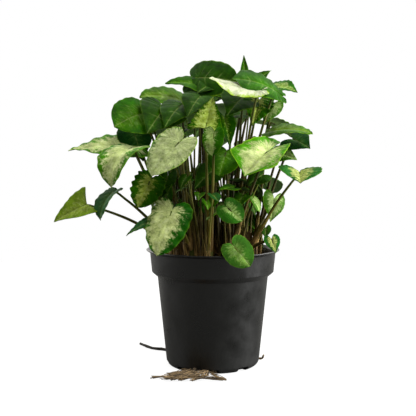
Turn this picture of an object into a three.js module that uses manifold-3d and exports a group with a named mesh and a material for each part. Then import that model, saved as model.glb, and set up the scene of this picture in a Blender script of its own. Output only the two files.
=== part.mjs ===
// An arrowhead plant (Syngonium podophyllum) in its black nursery pot.
// Units are millimetres and +Z is up. The origin is the middle of the pot's flat underside.
import * as THREE from "three";
import { mergeVertices } from "three/addons/utils/BufferGeometryUtils.js";
import Module from "manifold-3d";

const wasm = await Module();
wasm.setup();

// ---- Driving dimensions ----

const CLEARANCE = 0.35; // between one piece and the next

// Pot: thin blow-moulded walls, a straight collar under a flared lip, six drain slots round the foot.
const LIP_RADIUS = 85;
const POT_HEIGHT = 148;
const COLLAR_TOP_RADIUS = 80;
const COLLAR_BOTTOM_RADIUS = 77.7;
const COLLAR_BOTTOM_Z = 119.5;
const BODY_TOP_RADIUS = 70.5;
const BODY_TOP_Z = 113.5;
const BODY_BOTTOM_RADIUS = 59.6;
const FOOT_RADIUS = 52;
const FOOT_CORNER_Z = 8;
const FOOT_BEVEL = 5; // the foot's corner is broken over this much of the radius
const WALL = 1.6;
const LIP_THICKNESS = 1.4;
const LIP_FLARE_HEIGHT = 4; // from the top of the collar to the top of the lip
const FLOOR_THICKNESS = 2.4;
const POT_SIDES = 40;
const SLOT_HEIGHT = 6;
const SLOT_WIDTH = 16;
const ROOT_SLOT_WIDTH = 54; // the slot that the roots have filled and widened
const ROOT_SLOT_ANGLE = 250;
const SLOT_STEP = 60;
const SLOT_INNER_RADIUS = 47;
const SLOT_OUTER_RADIUS = 75;

// Soil: fills the pot to below the lip, a little mounded and lumpy.
const SOIL_EDGE_Z = 136;
const SOIL_MOUND = 4;
const SOIL_LUMP = 1.1;
const LUMP_SPACING = [5.3, 4.1, 9.7, 7.9];
const SOIL_RINGS = 4;
const SOIL_SIDES = 24;
const SOIL_BEVEL = 6; // the soil stands clear of the drain slots by a bevel round its foot
const SOIL_SLACK = 0.8; // beyond the usual clearance, because the soil has fewer sides than the pot

// Stems: each plantlet has a short sheathed stem that stands in a plain hole in the soil.
const STEM_BOTTOM_Z = 104;
const STEM_TOP_Z = 158;
const STEM_FOOT_RADIUS = 5.2;
const STEM_TOP_RADIUS = 4;
const STEM_SIDES = 8;

// Leaf stalks.
const STALK_START_Z = 151;
const STALK_START_OUT = 1.6;
const STALK_FOOT_RADIUS = 2.7;
const STALK_END_RADIUS = 1.3;
const STALK_SIDES = 4;
const STALK_STEPS = 6;
const STALK_RISE = 0.36; // how far the stalk keeps upright, as a share of its span
const STALK_REACH = 0.3; // how far it comes in along its last direction
const STALK_ARCH = 0.55; // how much of its climb is over before it arrives
const STALK_UNDER_BLADE = 7;
const STALK_LEAN = 4; // how far a stalk leans outwards as it leaves its stem
const STALK_FAN = 0.8; // how much it sets off towards its blade instead of straight up
const STALK_TAPER = 0.7; // below 1, so that it thins faster near its foot
const STALK_GAP = 0.9; // kept between stalks of different plantlets
const CLEARING_ROUNDS = 90;
const SMOOTHING_ROUNDS = 70; // the rounds that also smooth the stalks, before the last ones
const SMOOTHING = 0.04;

// Leaf blades.
const BLADE_THICKNESS = 0.9;
const SMALL_BLADE = 45; // a blade shorter than this has one row of facets a side
const VEIN_SLOPE = 0.22; // how far a side vein runs forward on its way to the margin
const CUP = 0.22; // how much the margins turn down
const WAVE = 0.02; // height of the margin's waves, as a share of the blade's length
const WAVES = 2.5; // waves along one margin
const PHASE_STEP = 2.4; // radians from one leaf's waves to the next leaf's
const ROWS = [0, 0.6, 1];
const SMALL_ROWS = [0, 1];

// One half of a blade's outline, from the notch round the lobe to the tip: along the midrib
// as a share of its length, and across it as a share of the half width. The usual arrowhead,
// a fuller one, one with pointed lobes, and one with long lobes and a blunt end.
const OUTLINES = {
  arrow: [[0, 0], [-0.2, 0.2], [-0.36, 0.54], [-0.2, 0.9], [0.1, 1], [0.42, 0.82], [0.74, 0.38], [1, 0]],
  oval: [[0, 0], [-0.2, 0.08], [-0.32, 0.5], [-0.18, 0.88], [0.14, 1], [0.5, 0.93], [0.84, 0.52], [1, 0]],
  pointed: [[0, 0], [-0.06, 0.3], [-0.12, 0.65], [-0.2, 1], [0.1, 0.86], [0.4, 0.66], [0.7, 0.38], [1, 0]],
  broad: [[0, 0], [-0.45, 0.04], [-0.85, 0.2], [-0.58, 0.5], [-0.1, 0.76], [0.34, 0.92], [0.7, 0.96], [1, 0]],
};

// Where each plantlet stands in the soil: x, y.
const PLANTLETS = {
  A: [-41, -31],
  B: [-25, -47],
  C: [-4, -56],
  D: [21, -53],
  E: [44, -35],
  F: [-50, -5],
  G: [-29, -16],
  H: [-8, -24],
  I: [24, -16],
  J: [52, 0],
  K: [-42, 26],
  L: [-14, 14],
  M: [14, 22],
  N: [44, 32],
  O: [-22, 56],
  P: [18, 58],
};

// Each leaf: name, plantlet, where the stalk meets the blade, the tip, the way the upper face looks,
// half width as a share of the length, fold of the halves in degrees, bow of the midrib,
// the length of the lobes against the usual one, and the outline.
const LEAVES = [
  ["pale_left", "B", [-40, -68, 281], [-73, -74, 242], [-7, -9, 4], 0.6, 18, 0.04, 1, "oval"],
  ["cream_arch", "F", [-98, -36, 275], [-121, -62, 227], [-7, -10, 6], 0.5, 22, 0.26, 0.5, "oval"],
  ["cream_reach", "F", [-103, -4, 279], [-180, -22, 272], [-1, -5, 9], 0.42, 10, 0.04, 0.7, "arrow"],
  ["dark_behind", "F", [-101, 7, 296], [-88, -5, 259], [1, -10, 6], 0.56, 14, 0.06, 0.9, "arrow"],
  ["slate_hang", "F", [-121, -30, 222], [-137, -44, 187], [-8, -7, 3], 0.42, 24, 0.16, 0.5, "oval"],
  ["olive_far", "F", [-157, -24, 206], [-197, -30, 184], [-2, -8, 6], 0.56, 26, 0.03, 0.9, "pointed"],
  ["mottle_low", "A", [-76, -42, 236], [-91, -52, 203], [0, -10, 3], 0.52, 8, 0.06, 0.9, "oval"],
  ["frill_low", "B", [-56, -26, 241], [-65, -30, 213], [2, -10, 3], 0.4, 20, 0.06, 1, "arrow"],
  ["frill_mid", "B", [-58, -26, 216], [-50, -40, 231], [2, -10, 6], 0.4, 10, 0.04, 1, "arrow"],
  ["cream_low", "B", [-49, -64, 200], [-66, -82, 148], [-2, -10, 3], 0.45, 6, 0.05, 0.8, "oval"],
  ["slate_low", "A", [-77, -44, 186], [-105, -56, 169], [0, -6, 8], 0.26, 24, 0.05, 1, "pointed"],
  ["dark_left", "G", [-88, -12, 319], [-121, -34, 301], [-1, -10, 5], 0.74, 12, 0.06, 1, "oval"],
  ["dark_left_in", "G", [-61, -6, 325], [-80, -46, 292], [3, -8, 7], 0.58, 14, 0.08, 0.6, "arrow"],
  ["light_left", "K", [-38, 46, 339], [-95, 20, 342], [0, -6, 8], 0.44, 12, 0.08, 0.9, "oval"],
  ["dark_mid_left", "G", [-39, -4, 330], [-59, -44, 299], [0, -7, 8], 0.46, 10, 0.08, 0.8, "arrow"],
  ["dark_mid", "H", [-15, -6, 341], [-31, -44, 312], [0, -7, 8], 0.46, 14, 0.08, 0.4, "arrow"],
  ["spear_left", "L", [-6, 36, 357], [-62, 22, 360], [0, -6, 8], 0.4, 14, 0.06, 1, "arrow"],
  ["dark_high", "L", [4, 32, 360], [-20, 2, 345], [0, -7, 8], 0.44, 12, 0.08, 1, "arrow"],
  ["crown_left", "L", [-18, 30, 368], [33, 10, 360], [-1, -9, 5], 0.54, 8, 0.06, 1.1, "oval"],
  ["crown_spike", "M", [42, 34, 368], [41, 40, 399], [0, -10, 1], 0.2, 16, 0.02, 0.8, "arrow"],
  ["crown_right", "I", [76, -20, 347], [23, -34, 359], [0, -6, 8], 0.54, 8, 0.08, 0.4, "broad"],
  ["crown_tip", "M", [55, 46, 364], [78, 50, 380], [0, -6, 8], 0.4, 14, 0.04, 1, "arrow"],
  ["fleck_right", "N", [82, 21, 356], [107, -2, 346], [0, -7, 8], 0.5, 16, 0.06, 1, "arrow"],
  ["white_peak", "I", [54, -40, 346], [-5, -62, 357], [0, -5, 9], 0.36, 4, -0.03, 0.25, "broad"],
  ["dark_under", "I", [38, -6, 340], [17, -40, 314], [0, -8, 6], 0.56, 12, 0.06, 0.5, "arrow"],
  ["light_under", "I", [58, -8, 336], [48, -36, 302], [1, -10, 4], 0.44, 14, 0.05, 1, "arrow"],
  ["pale_right", "N", [77, 10, 332], [64, -6, 306], [0, -10, 3], 0.42, 12, 0.04, 1, "arrow"],
  ["dark_small", "M", [35, 14, 319], [17, -2, 313], [0, -6, 8], 0.44, 14, 0.04, 1, "arrow"],
  ["lime_star", "C", [-9, -48, 299], [0, -38, 337], [0, -10, 6], 0.56, 8, 0.04, 0.5, "pointed"],
  ["two_tone", "C", [1, -62, 292], [-1, -66, 265], [-3, -10, 1], 0.5, 18, 0.04, 1, "oval"],
  ["dark_mid_right", "H", [15, -16, 312], [21, -30, 277], [3, -10, 2], 0.34, 20, 0.05, 1, "arrow"],
  ["green_mid", "D", [16, -40, 270], [7, -58, 241], [0, -10, 6], 0.56, 8, 0.06, 0.7, "oval"],
  ["dim_left", "C", [-1, -30, 247], [-23, -44, 225], [0, -10, 5], 0.46, 12, 0.06, 1, "arrow"],
  ["dim_right", "I", [61, -24, 242], [42, -38, 229], [0, -10, 6], 0.46, 12, 0.06, 1, "arrow"],
  ["cup_low", "D", [24, -52, 227], [7, -66, 225], [0, -5, 10], 0.44, 20, 0.02, 1, "arrow"],
  ["heart_front", "D", [17, -74, 204], [34, -82, 189], [0, -10, 3], 0.62, 8, 0.03, 1.3, "oval"],
  ["heart_rim", "D", [25, -88, 159], [43, -92, 137], [0, -10, 2], 0.6, 8, 0.03, 1.2, "oval"],
  ["cream_right", "D", [65, -50, 270], [36, -88, 242], [0, -6, 8], 0.64, 32, 0.05, 1, "broad"],
  ["light_reach", "J", [70, -4, 296], [124, -22, 293], [1, -4, 10], 0.4, 14, 0.08, 0.3, "oval"],
  ["dark_right", "J", [103, 14, 288], [123, -6, 275], [1, -9, 4], 0.66, 10, 0.06, 1, "arrow"],
  ["green_right", "J", [83, 2, 270], [106, -10, 261], [0, -8, 6], 0.52, 12, 0.05, 1, "arrow"],
  ["wings_right", "E", [105, -44, 246], [103, -72, 233], [0, -7, 7], 0.95, 28, 0.04, 0.7, "oval"],
  ["grey_right", "E", [77, -14, 212], [71, -28, 184], [3, -10, 3], 0.48, 12, 0.05, 1, "arrow"],
  ["bud_right", "E", [65, -34, 177], [64, -42, 165], [1, -10, 4], 0.5, 14, 0.03, 1, "arrow"],
  ["rim_right", "E", [71, -52, 165], [75, -62, 149], [1, -10, 4], 0.52, 12, 0.04, 1, "arrow"],
  ["back_high_left", "O", [-44, 62, 306], [-76, 96, 278], [-3, 8, 8], 0.5, 12, 0.08, 1, "arrow"],
  ["back_high", "O", [-16, 74, 322], [-24, 120, 292], [0, 8, 8], 0.5, 12, 0.08, 1, "arrow"],
  ["back_mid_left", "O", [-34, 84, 244], [-56, 118, 216], [-2, 10, 6], 0.5, 12, 0.06, 1, "arrow"],
  ["back_rim", "O", [-16, 94, 176], [-26, 112, 136], [-1, 10, 3], 0.52, 10, 0.05, 1, "arrow"],
  ["back_left_high", "K", [-78, 40, 302], [-118, 62, 278], [-5, 5, 9], 0.48, 14, 0.08, 1, "arrow"],
  ["back_left_low", "K", [-62, 56, 222], [-84, 86, 196], [-5, 8, 6], 0.5, 12, 0.06, 1, "arrow"],
  ["back_crown", "L", [-8, 50, 348], [-14, 98, 328], [0, 6, 9], 0.5, 12, 0.08, 1, "arrow"],
  ["back_right_high", "P", [26, 72, 334], [38, 118, 304], [1, 8, 8], 0.5, 12, 0.08, 1, "arrow"],
  ["back_mid", "P", [14, 90, 270], [10, 126, 236], [0, 10, 5], 0.52, 12, 0.06, 1, "arrow"],
  ["back_mid_right", "P", [54, 72, 284], [84, 102, 256], [4, 8, 8], 0.5, 12, 0.08, 1, "arrow"],
  ["back_low_right", "P", [42, 84, 212], [56, 116, 182], [3, 10, 5], 0.5, 12, 0.06, 1, "arrow"],
  ["back_far_right", "N", [78, 52, 312], [112, 78, 290], [5, 5, 9], 0.48, 14, 0.08, 1, "arrow"],
  ["back_right_low", "N", [70, 60, 236], [84, 96, 214], [4, 8, 6], 0.5, 12, 0.06, 1, "oval"],
];

// Colours.
const POT_BLACK = 0x2b2b2b;
const SOIL_BROWN = 0x3a2c1f;
const LEAF_GREEN = 0x3f7a1c;
const ROOT_BROWN = 0x8b6a3c;
const DARK_ROOT = 0x1c1a12;

const UP = new THREE.Vector3(0, 0, 1);
const radians = THREE.MathUtils.degToRad;
const vector = ([x, y, z]) => new THREE.Vector3(x, y, z);

// ---- Solids and meshes ----

// A closed geometry as a solid that can be joined and cut.
function solidOf(geometry) {
  const bare = geometry.clone();
  bare.deleteAttribute("normal");
  bare.deleteAttribute("uv");
  const merged = mergeVertices(bare, 1e-4);
  const corners = Array.from(merged.index.array);
  const triVerts = [];
  for (let i = 0; i < corners.length; i += 3) {
    const [a, b, c] = corners.slice(i, i + 3);
    if (a !== b && b !== c && c !== a) triVerts.push(a, b, c);
  }
  return new wasm.Manifold(
    new wasm.Mesh({
      numProp: 3,
      vertProperties: merged.attributes.position.array,
      triVerts: new Uint32Array(triVerts),
    }),
  );
}

function geometryOf(solid) {
  const mesh = solid.getMesh();
  const geometry = new THREE.BufferGeometry();
  geometry.setAttribute("position", new THREE.BufferAttribute(mesh.vertProperties, 3));
  geometry.setIndex(new THREE.BufferAttribute(mesh.triVerts, 1));
  geometry.computeVertexNormals();
  return geometry;
}

function meshOf(name, solid, color, roughness) {
  const material = new THREE.MeshStandardMaterial({ color, roughness, metalness: 0 });
  const mesh = new THREE.Mesh(geometryOf(solid), material);
  mesh.name = name;
  return mesh;
}

const summed = (solids) => solids.reduce((sum, next) => sum.add(next));

// Several solids as one body: a hollow that the joining seals is filled and a loose scrap is dropped.
function joined(solids) {
  return summed(solids)
    .decompose()
    .reduce((a, b) => (a.volume() > b.volume() ? a : b));
}

// A closed profile of [radius, height] pairs turned about the upright axis.
function turned(profile, sides) {
  const points = profile.map(([radius, height]) => new THREE.Vector2(radius, height));
  return new THREE.LatheGeometry(points, sides).rotateX(Math.PI / 2);
}

// A cylinder bent along a route, its radius given at each share of the way.
function taperedTube(route, radiusAt, sides, steps) {
  const curve = new THREE.CatmullRomCurve3(route);
  const frames = curve.computeFrenetFrames(steps, false);
  const tube = new THREE.CylinderGeometry(1, 1, 1, sides, steps);
  const position = tube.attributes.position;
  for (let i = 0; i < position.count; i++) {
    const share = position.getY(i) + 0.5;
    const ring = Math.round(share * steps);
    const radius = radiusAt(share);
    const point = curve
      .getPointAt(share)
      .addScaledVector(frames.normals[ring], position.getX(i) * radius)
      .addScaledVector(frames.binormals[ring], -position.getZ(i) * radius);
    position.setXYZ(i, point.x, point.y, point.z);
  }
  return tube;
}

// ---- Pot ----

function makePot() {
  const profile = [
    [0, 0],
    [FOOT_RADIUS, 0],
    [FOOT_RADIUS + FOOT_BEVEL, FOOT_CORNER_Z / 3],
    [BODY_BOTTOM_RADIUS, FOOT_CORNER_Z],
    [BODY_TOP_RADIUS, BODY_TOP_Z],
    [COLLAR_BOTTOM_RADIUS, COLLAR_BOTTOM_Z],
    [COLLAR_TOP_RADIUS, POT_HEIGHT - LIP_FLARE_HEIGHT],
    [LIP_RADIUS - LIP_THICKNESS / 2, POT_HEIGHT - LIP_THICKNESS],
    [LIP_RADIUS, POT_HEIGHT - LIP_THICKNESS / 2],
    [LIP_RADIUS - LIP_THICKNESS / 2, POT_HEIGHT],
    [LIP_RADIUS - 2 * LIP_THICKNESS, POT_HEIGHT],
    [COLLAR_TOP_RADIUS - WALL, POT_HEIGHT - LIP_FLARE_HEIGHT + WALL / 2],
    [COLLAR_BOTTOM_RADIUS - WALL, COLLAR_BOTTOM_Z + WALL / 2],
    [BODY_TOP_RADIUS - WALL, BODY_TOP_Z + WALL / 2],
    [BODY_BOTTOM_RADIUS - WALL, FOOT_CORNER_Z],
    [FOOT_RADIUS + FOOT_BEVEL - WALL, FLOOR_THICKNESS],
    [0, FLOOR_THICKNESS],
  ];
  const slots = [];
  for (let turn = 0; turn < 360; turn += SLOT_STEP) {
    const width = turn === 0 ? ROOT_SLOT_WIDTH : SLOT_WIDTH;
    const reach = SLOT_OUTER_RADIUS - SLOT_INNER_RADIUS;
    const slot = new THREE.BoxGeometry(reach, width, 2 * SLOT_HEIGHT)
      .translate(SLOT_INNER_RADIUS + reach / 2, 0, 0)
      .rotateZ(radians(ROOT_SLOT_ANGLE + turn));
    slots.push(solidOf(slot));
  }
  return solidOf(turned(profile, POT_SIDES)).subtract(summed(slots));
}

// ---- Soil ----

// Height of the soil's top, a low mound with lumps of a few millimetres.
function soilTop(x, y) {
  const fromMiddle = Math.hypot(x, y) / COLLAR_BOTTOM_RADIUS;
  const [fineX, fineY, coarseX, coarseY] = LUMP_SPACING;
  const lumps = Math.sin(x / fineX) * Math.cos(y / fineY) + Math.sin(x / coarseX - y / coarseY);
  return SOIL_EDGE_Z + SOIL_MOUND * (1 - fromMiddle ** 2) + SOIL_LUMP * lumps;
}

function makeSoil(holes) {
  const inside = (radius) => radius - WALL - CLEARANCE - SOIL_SLACK;
  const floor = FLOOR_THICKNESS + CLEARANCE;
  const edge = inside(COLLAR_BOTTOM_RADIUS);
  const profile = [
    [0, floor],
    [SLOT_INNER_RADIUS - SOIL_BEVEL / 2, floor],
    [inside(BODY_BOTTOM_RADIUS), FOOT_CORNER_Z + SOIL_BEVEL],
    [inside(BODY_TOP_RADIUS), BODY_TOP_Z + WALL],
    [edge, COLLAR_BOTTOM_Z + WALL],
    [edge, SOIL_EDGE_Z - SOIL_BEVEL],
  ];
  for (let ring = 0; ring <= SOIL_RINGS; ring++)
    profile.push([edge * (1 - ring / SOIL_RINGS), SOIL_EDGE_Z]);
  const soil = turned(profile, SOIL_SIDES);
  const position = soil.attributes.position;
  for (let i = 0; i < position.count; i++)
    if (position.getZ(i) > SOIL_EDGE_Z - 1)
      position.setZ(i, soilTop(position.getX(i), position.getY(i)));
  return solidOf(soil).subtract(summed(holes));
}

// ---- Leaf blades ----

// A flat half blade on each side of the midrib, as shared points, triangles and margin edges.
function flatBlade(outline, rows) {
  const points = [];
  const numbers = new Map();
  function pointAt(column, row, side) {
    const [along, across] = outline[column];
    const start = Math.max(0, along - VEIN_SLOPE * across);
    const t = THREE.MathUtils.lerp(start, along, rows[row]);
    const v = side * rows[row] * across;
    const key = t.toFixed(4) + " " + Math.abs(v).toFixed(4) + (Math.abs(v) < 1e-6 ? "" : side);
    if (!numbers.has(key)) {
      numbers.set(key, points.length);
      points.push({ t, v, margin: rows[row], way: column / (outline.length - 1) });
    }
    return numbers.get(key);
  }
  const triangles = [];
  for (const side of [1, -1])
    for (let column = 0; column < outline.length - 1; column++)
      for (let row = 0; row < rows.length - 1; row++) {
        const a = pointAt(column, row, side);
        const b = pointAt(column + 1, row, side);
        const c = pointAt(column + 1, row + 1, side);
        const d = pointAt(column, row + 1, side);
        for (const corners of [[a, b, c], [a, c, d]]) {
          if (new Set(corners).size < 3) continue;
          triangles.push(side > 0 ? corners : corners.reverse());
        }
      }
  const edges = triangles.flatMap(([a, b, c]) => [[a, b], [b, c], [c, a]]);
  const known = new Set(edges.map(([a, b]) => a + " " + b));
  const rim = edges.filter(([a, b]) => !known.has(b + " " + a));
  return { points, triangles, rim };
}

// The leaf's own axes: along the midrib, across it, and out of the upper face.
function axesOf(leaf) {
  const along = leaf.tip.clone().sub(leaf.at);
  const length = along.length();
  along.normalize();
  const out = leaf.face.clone().addScaledVector(along, -leaf.face.dot(along)).normalize();
  return { along, across: out.clone().cross(along), out, length };
}

// Where a point of the flat blade comes to lie on the folded, bowed and waved one.
function bentPoint(leaf, { t, v, margin, way }) {
  const { along, across, out, length } = leaf.axes;
  const share = t < 0 ? t * leaf.lobe : t;
  const halfWidth = leaf.width * length;
  const reach = Math.abs(v) * halfWidth;
  const fold = radians(leaf.fold);
  const height =
    reach * Math.sin(fold) +
    4 * leaf.bow * length * share * (1 - share) -
    CUP * Math.abs(v) * reach +
    WAVE * length * margin ** 2 * Math.sin(2 * Math.PI * WAVES * way + leaf.phase + Math.sign(v));
  return leaf.at
    .clone()
    .addScaledVector(along, share * length)
    .addScaledVector(across, Math.sign(v) * reach * Math.cos(fold))
    .addScaledVector(out, height);
}

function makeBlade(leaf) {
  const flat = flatBlade(OUTLINES[leaf.outline], leaf.axes.length < SMALL_BLADE ? SMALL_ROWS : ROWS);
  const middle = flat.points.map((point) => bentPoint(leaf, point));
  const sheet = new THREE.BufferGeometry().setFromPoints(middle);
  sheet.setIndex(flat.triangles.flat());
  sheet.computeVertexNormals();
  const normals = sheet.attributes.normal;
  const faces = [1, -1].flatMap((side) =>
    middle.map((point, i) => {
      const normal = new THREE.Vector3().fromBufferAttribute(normals, i);
      return point.clone().addScaledVector(normal, (side * BLADE_THICKNESS) / 2);
    }),
  );
  const under = middle.length;
  const index = flat.triangles.flatMap(([a, b, c]) => [a, b, c, under + c, under + b, under + a]);
  for (const [a, b] of flat.rim)
    index.push(a, under + a, under + b, a, under + b, b);
  const blade = new THREE.BufferGeometry().setFromPoints(faces);
  blade.setIndex(index);
  return solidOf(blade);
}

// ---- Stalks ----

// Up from the stem, over in an arch, and on along the underside of the blade's midrib.
function stalkRoute(leaf) {
  const [x, y] = PLANTLETS[leaf.plantlet];
  const outwards = new THREE.Vector3(leaf.at.x - x, leaf.at.y - y, 0).normalize();
  const foot = new THREE.Vector3(x, y, STALK_START_Z).addScaledVector(outwards, STALK_START_OUT);
  const top = leaf.at.clone().addScaledVector(leaf.axes.out, -STALK_END_RADIUS);
  const span = top.clone().sub(foot);
  const size = span.length();
  const arriving = span.clone().setZ(span.z * STALK_ARCH).normalize();
  const leaving = UP.clone().addScaledVector(span.clone().setZ(0), STALK_FAN / size).normalize();
  const curve = new THREE.CubicBezierCurve3(
    foot,
    foot.clone().addScaledVector(leaving, STALK_RISE * size).addScaledVector(outwards, STALK_LEAN),
    top.clone().addScaledVector(arriving, -STALK_REACH * size),
    top,
  );
  return curve.getPoints(STALK_STEPS);
}

const stalkRadius = (share) =>
  THREE.MathUtils.lerp(STALK_FOOT_RADIUS, STALK_END_RADIUS, share ** STALK_TAPER);

// The nearest points of two straight stretches, as shares of each, with the gap between them.
function nearest(a, b, c, d) {
  const u = b.clone().sub(a);
  const v = d.clone().sub(c);
  const w = a.clone().sub(c);
  const uu = u.dot(u);
  const uv = u.dot(v);
  const vv = v.dot(v);
  const uw = u.dot(w);
  const vw = v.dot(w);
  const clamp = (value) => Math.min(1, Math.max(0, value));
  const spread = uu * vv - uv * uv;
  let s = spread > 1e-9 ? clamp((uv * vw - vv * uw) / spread) : 0.5;
  const t = clamp((uv * s + vw) / vv);
  s = clamp((uv * t - uw) / uu);
  const gap = a.clone().addScaledVector(u, s).sub(c.clone().addScaledVector(v, t));
  return { s, t, gap };
}

// Stalks of different plantlets that would cross are bent clear of each other, a little at a time.
function bendClear(leaves) {
  const pairs = [];
  leaves.forEach((one, i) =>
    leaves.slice(i + 1).forEach((other) => {
      if (one.plantlet !== other.plantlet) pairs.push([one, other]);
    }),
  );
  const last = STALK_STEPS;
  for (let round = 0; round < CLEARING_ROUNDS; round++) {
    for (const [one, other] of pairs)
      for (let i = 0; i < last; i++)
        for (let j = 0; j < last; j++) {
          const [a, b, c, d] = [one.route[i], one.route[i + 1], other.route[j], other.route[j + 1]];
          const wanted = stalkRadius(i / last) + stalkRadius(j / last) + STALK_GAP;
          if (a.distanceTo(c) > a.distanceTo(b) + c.distanceTo(d) + wanted) continue;
          const { s, t, gap } = nearest(a, b, c, d);
          const distance = gap.length();
          if (distance >= wanted) continue;
          if (distance < 1e-3) gap.copy(b).sub(a).cross(d.clone().sub(c));
          gap.normalize().multiplyScalar((wanted - distance) / 2);
          if (i > 0) a.addScaledVector(gap, 1 - s);
          if (i + 1 < last) b.addScaledVector(gap, s);
          if (j > 0) c.addScaledVector(gap, t - 1);
          if (j + 1 < last) d.addScaledVector(gap, -t);
        }
    if (round >= SMOOTHING_ROUNDS) continue;
    for (const { route } of leaves)
      for (let i = 1; i < last; i++) {
        const between = route[i - 1].clone().add(route[i + 1]).multiplyScalar(0.5);
        route[i].lerp(between, SMOOTHING);
      }
  }
}

function makeStalk(leaf) {
  const under = { t: STALK_UNDER_BLADE / leaf.axes.length, v: 0, margin: 0, way: 0 };
  const end = bentPoint(leaf, under).addScaledVector(leaf.axes.out, -STALK_END_RADIUS / 2);
  const route = [...leaf.route, end];
  return solidOf(taperedTube(route, stalkRadius, STALK_SIDES, STALK_STEPS));
}

// ---- Plantlets ----

function makeStem([x, y], extra) {
  const height = STEM_TOP_Z - STEM_BOTTOM_Z + 2 * extra;
  const stem = new THREE.CylinderGeometry(
    STEM_TOP_RADIUS + extra,
    STEM_FOOT_RADIUS + extra,
    height,
    STEM_SIDES,
  );
  return solidOf(stem.rotateX(Math.PI / 2).translate(x, y, (STEM_TOP_Z + STEM_BOTTOM_Z) / 2));
}

function readLeaves() {
  const leaves = LEAVES.map((row, i) => {
    const [name, plantlet, at, tip, face, width, fold, bow, lobe, outline] = row;
    const leaf = { name, plantlet, width, fold, bow, lobe, outline, phase: i * PHASE_STEP };
    Object.assign(leaf, { at: vector(at), tip: vector(tip), face: vector(face) });
    leaf.axes = axesOf(leaf);
    leaf.route = stalkRoute(leaf);
    return leaf;
  });
  bendClear(leaves);
  return leaves;
}

function makePlantlet(place, leaves) {
  return joined([makeStem(place, 0), ...leaves.flatMap((leaf) => [makeStalk(leaf), makeBlade(leaf)])]);
}

// ---- Roots ----

const STRAND_SIDES = 5;
const STRAND_STEPS = 5;

// Roots that have grown out of the drain slots and lie along the surface the pot stands on:
// points of each strand as [x, y, z], then its radius where it starts and where it ends.
const MAT_STRANDS = [
  [[[-25, -44, 3.4], [-32, -58, 3], [-46, -70, 2.6], [-74, -78, 1.6]], 2.4, 1],
  [[[-22, -45, 3.2], [-30, -62, 3], [-42, -74, 2.6], [-57, -84, 2.2]], 2.6, 1.8],
  [[[-18, -46, 3.4], [-24, -62, 3.6], [-30, -78, 3.4], [-50, -87, 2]], 2.6, 1.6],
  [[[-14, -48, 3.2], [-16, -64, 3], [-26, -80, 2.8], [-40, -88, 2]], 2.6, 1.6],
  [[[-10, -49, 3.4], [-8, -66, 3], [-14, -80, 2.6], [-24, -89, 2]], 2.6, 1.4],
  [[[-7, -51, 3.2], [-12, -66, 4.4], [-30, -76, 4.4], [-56, -80, 2.4]], 2.2, 1.2],
  [[[-27, -43, 3.2], [-38, -56, 3], [-46, -60, 2.4], [-54, -66, 1.8]], 2.2, 1.2],
  [[[-7, -51, 3.2], [0, -66, 3], [6, -78, 2.8], [14, -87, 1.8]], 2.2, 1.2],
  [[[-56, -84, 2], [-36, -85, 3.2], [-12, -85, 3.4], [11, -84, 2]], 1.4, 1.6],
];
const BACK_STRAND = [
  [[-34, 36, 3.4], [-50, 50, 2.6], [-68, 64, 1.8], [-84, 72, 1.8], [-102, 97, 1.8]],
  1.6,
  1.1,
];
const RIGHT_STRAND = [[[50, 8.7, 3.6], [58, 10, 3], [64, 9, 3.4], [66, 4, 9]], 1.7, 1.1];

function makeStrand([points, start, end]) {
  const radiusAt = (share) => THREE.MathUtils.lerp(start, end, share);
  return solidOf(taperedTube(points.map(vector), radiusAt, STRAND_SIDES, STRAND_STEPS));
}

// ---- The plant in its pot ----

const plant = new THREE.Group();
const leaves = readLeaves();
const places = Object.values(PLANTLETS);

plant.add(meshOf("pot", makePot(), POT_BLACK, 0.45));
plant.add(
  meshOf("soil", makeSoil(places.map((place) => makeStem(place, CLEARANCE))), SOIL_BROWN, 0.95),
);
for (const [letter, place] of Object.entries(PLANTLETS)) {
  const own = leaves.filter((leaf) => leaf.plantlet === letter);
  plant.add(meshOf("plantlet_" + letter.toLowerCase(), makePlantlet(place, own), LEAF_GREEN, 0.45));
}
plant.add(meshOf("root_mat", joined(MAT_STRANDS.map(makeStrand)), ROOT_BROWN, 0.85));
plant.add(meshOf("root_back", makeStrand(BACK_STRAND), DARK_ROOT, 0.8));
plant.add(meshOf("root_right", makeStrand(RIGHT_STRAND), ROOT_BROWN, 0.85));

export default plant;
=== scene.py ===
# %% [markdown]
# # An arrowhead plant in its nursery pot
#
# The real object is a 17 cm black plastic pot crowded with sixteen small plantlets of Syngonium.
# Each plantlet is a short sheathed stem with a few long leaf stalks, and each stalk carries one
# arrowhead blade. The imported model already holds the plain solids. Here each of them gets the fine
# surface that the real one has, in the same place and at the same size.
#
# Everything is in metres, +Z is up, and the origin is the middle of the pot's underside.

# %% Load the fixed frame
import math
from functools import partial

import bpy
import numpy as np
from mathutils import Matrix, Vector
from mathutils.kdtree import KDTree


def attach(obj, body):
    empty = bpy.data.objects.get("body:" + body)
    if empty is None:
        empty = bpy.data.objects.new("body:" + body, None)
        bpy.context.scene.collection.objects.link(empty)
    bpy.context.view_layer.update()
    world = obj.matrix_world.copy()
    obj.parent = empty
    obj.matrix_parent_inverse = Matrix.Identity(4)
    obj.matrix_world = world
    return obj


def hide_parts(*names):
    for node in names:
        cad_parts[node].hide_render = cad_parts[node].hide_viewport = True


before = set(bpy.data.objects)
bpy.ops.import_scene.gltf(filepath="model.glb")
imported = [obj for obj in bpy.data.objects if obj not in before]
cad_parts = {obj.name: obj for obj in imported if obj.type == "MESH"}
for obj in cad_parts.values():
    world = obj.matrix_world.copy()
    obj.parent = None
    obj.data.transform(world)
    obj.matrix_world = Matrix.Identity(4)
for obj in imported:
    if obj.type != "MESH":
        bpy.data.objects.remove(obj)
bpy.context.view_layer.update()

MM = 0.001
rng = np.random.default_rng(7)

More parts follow.
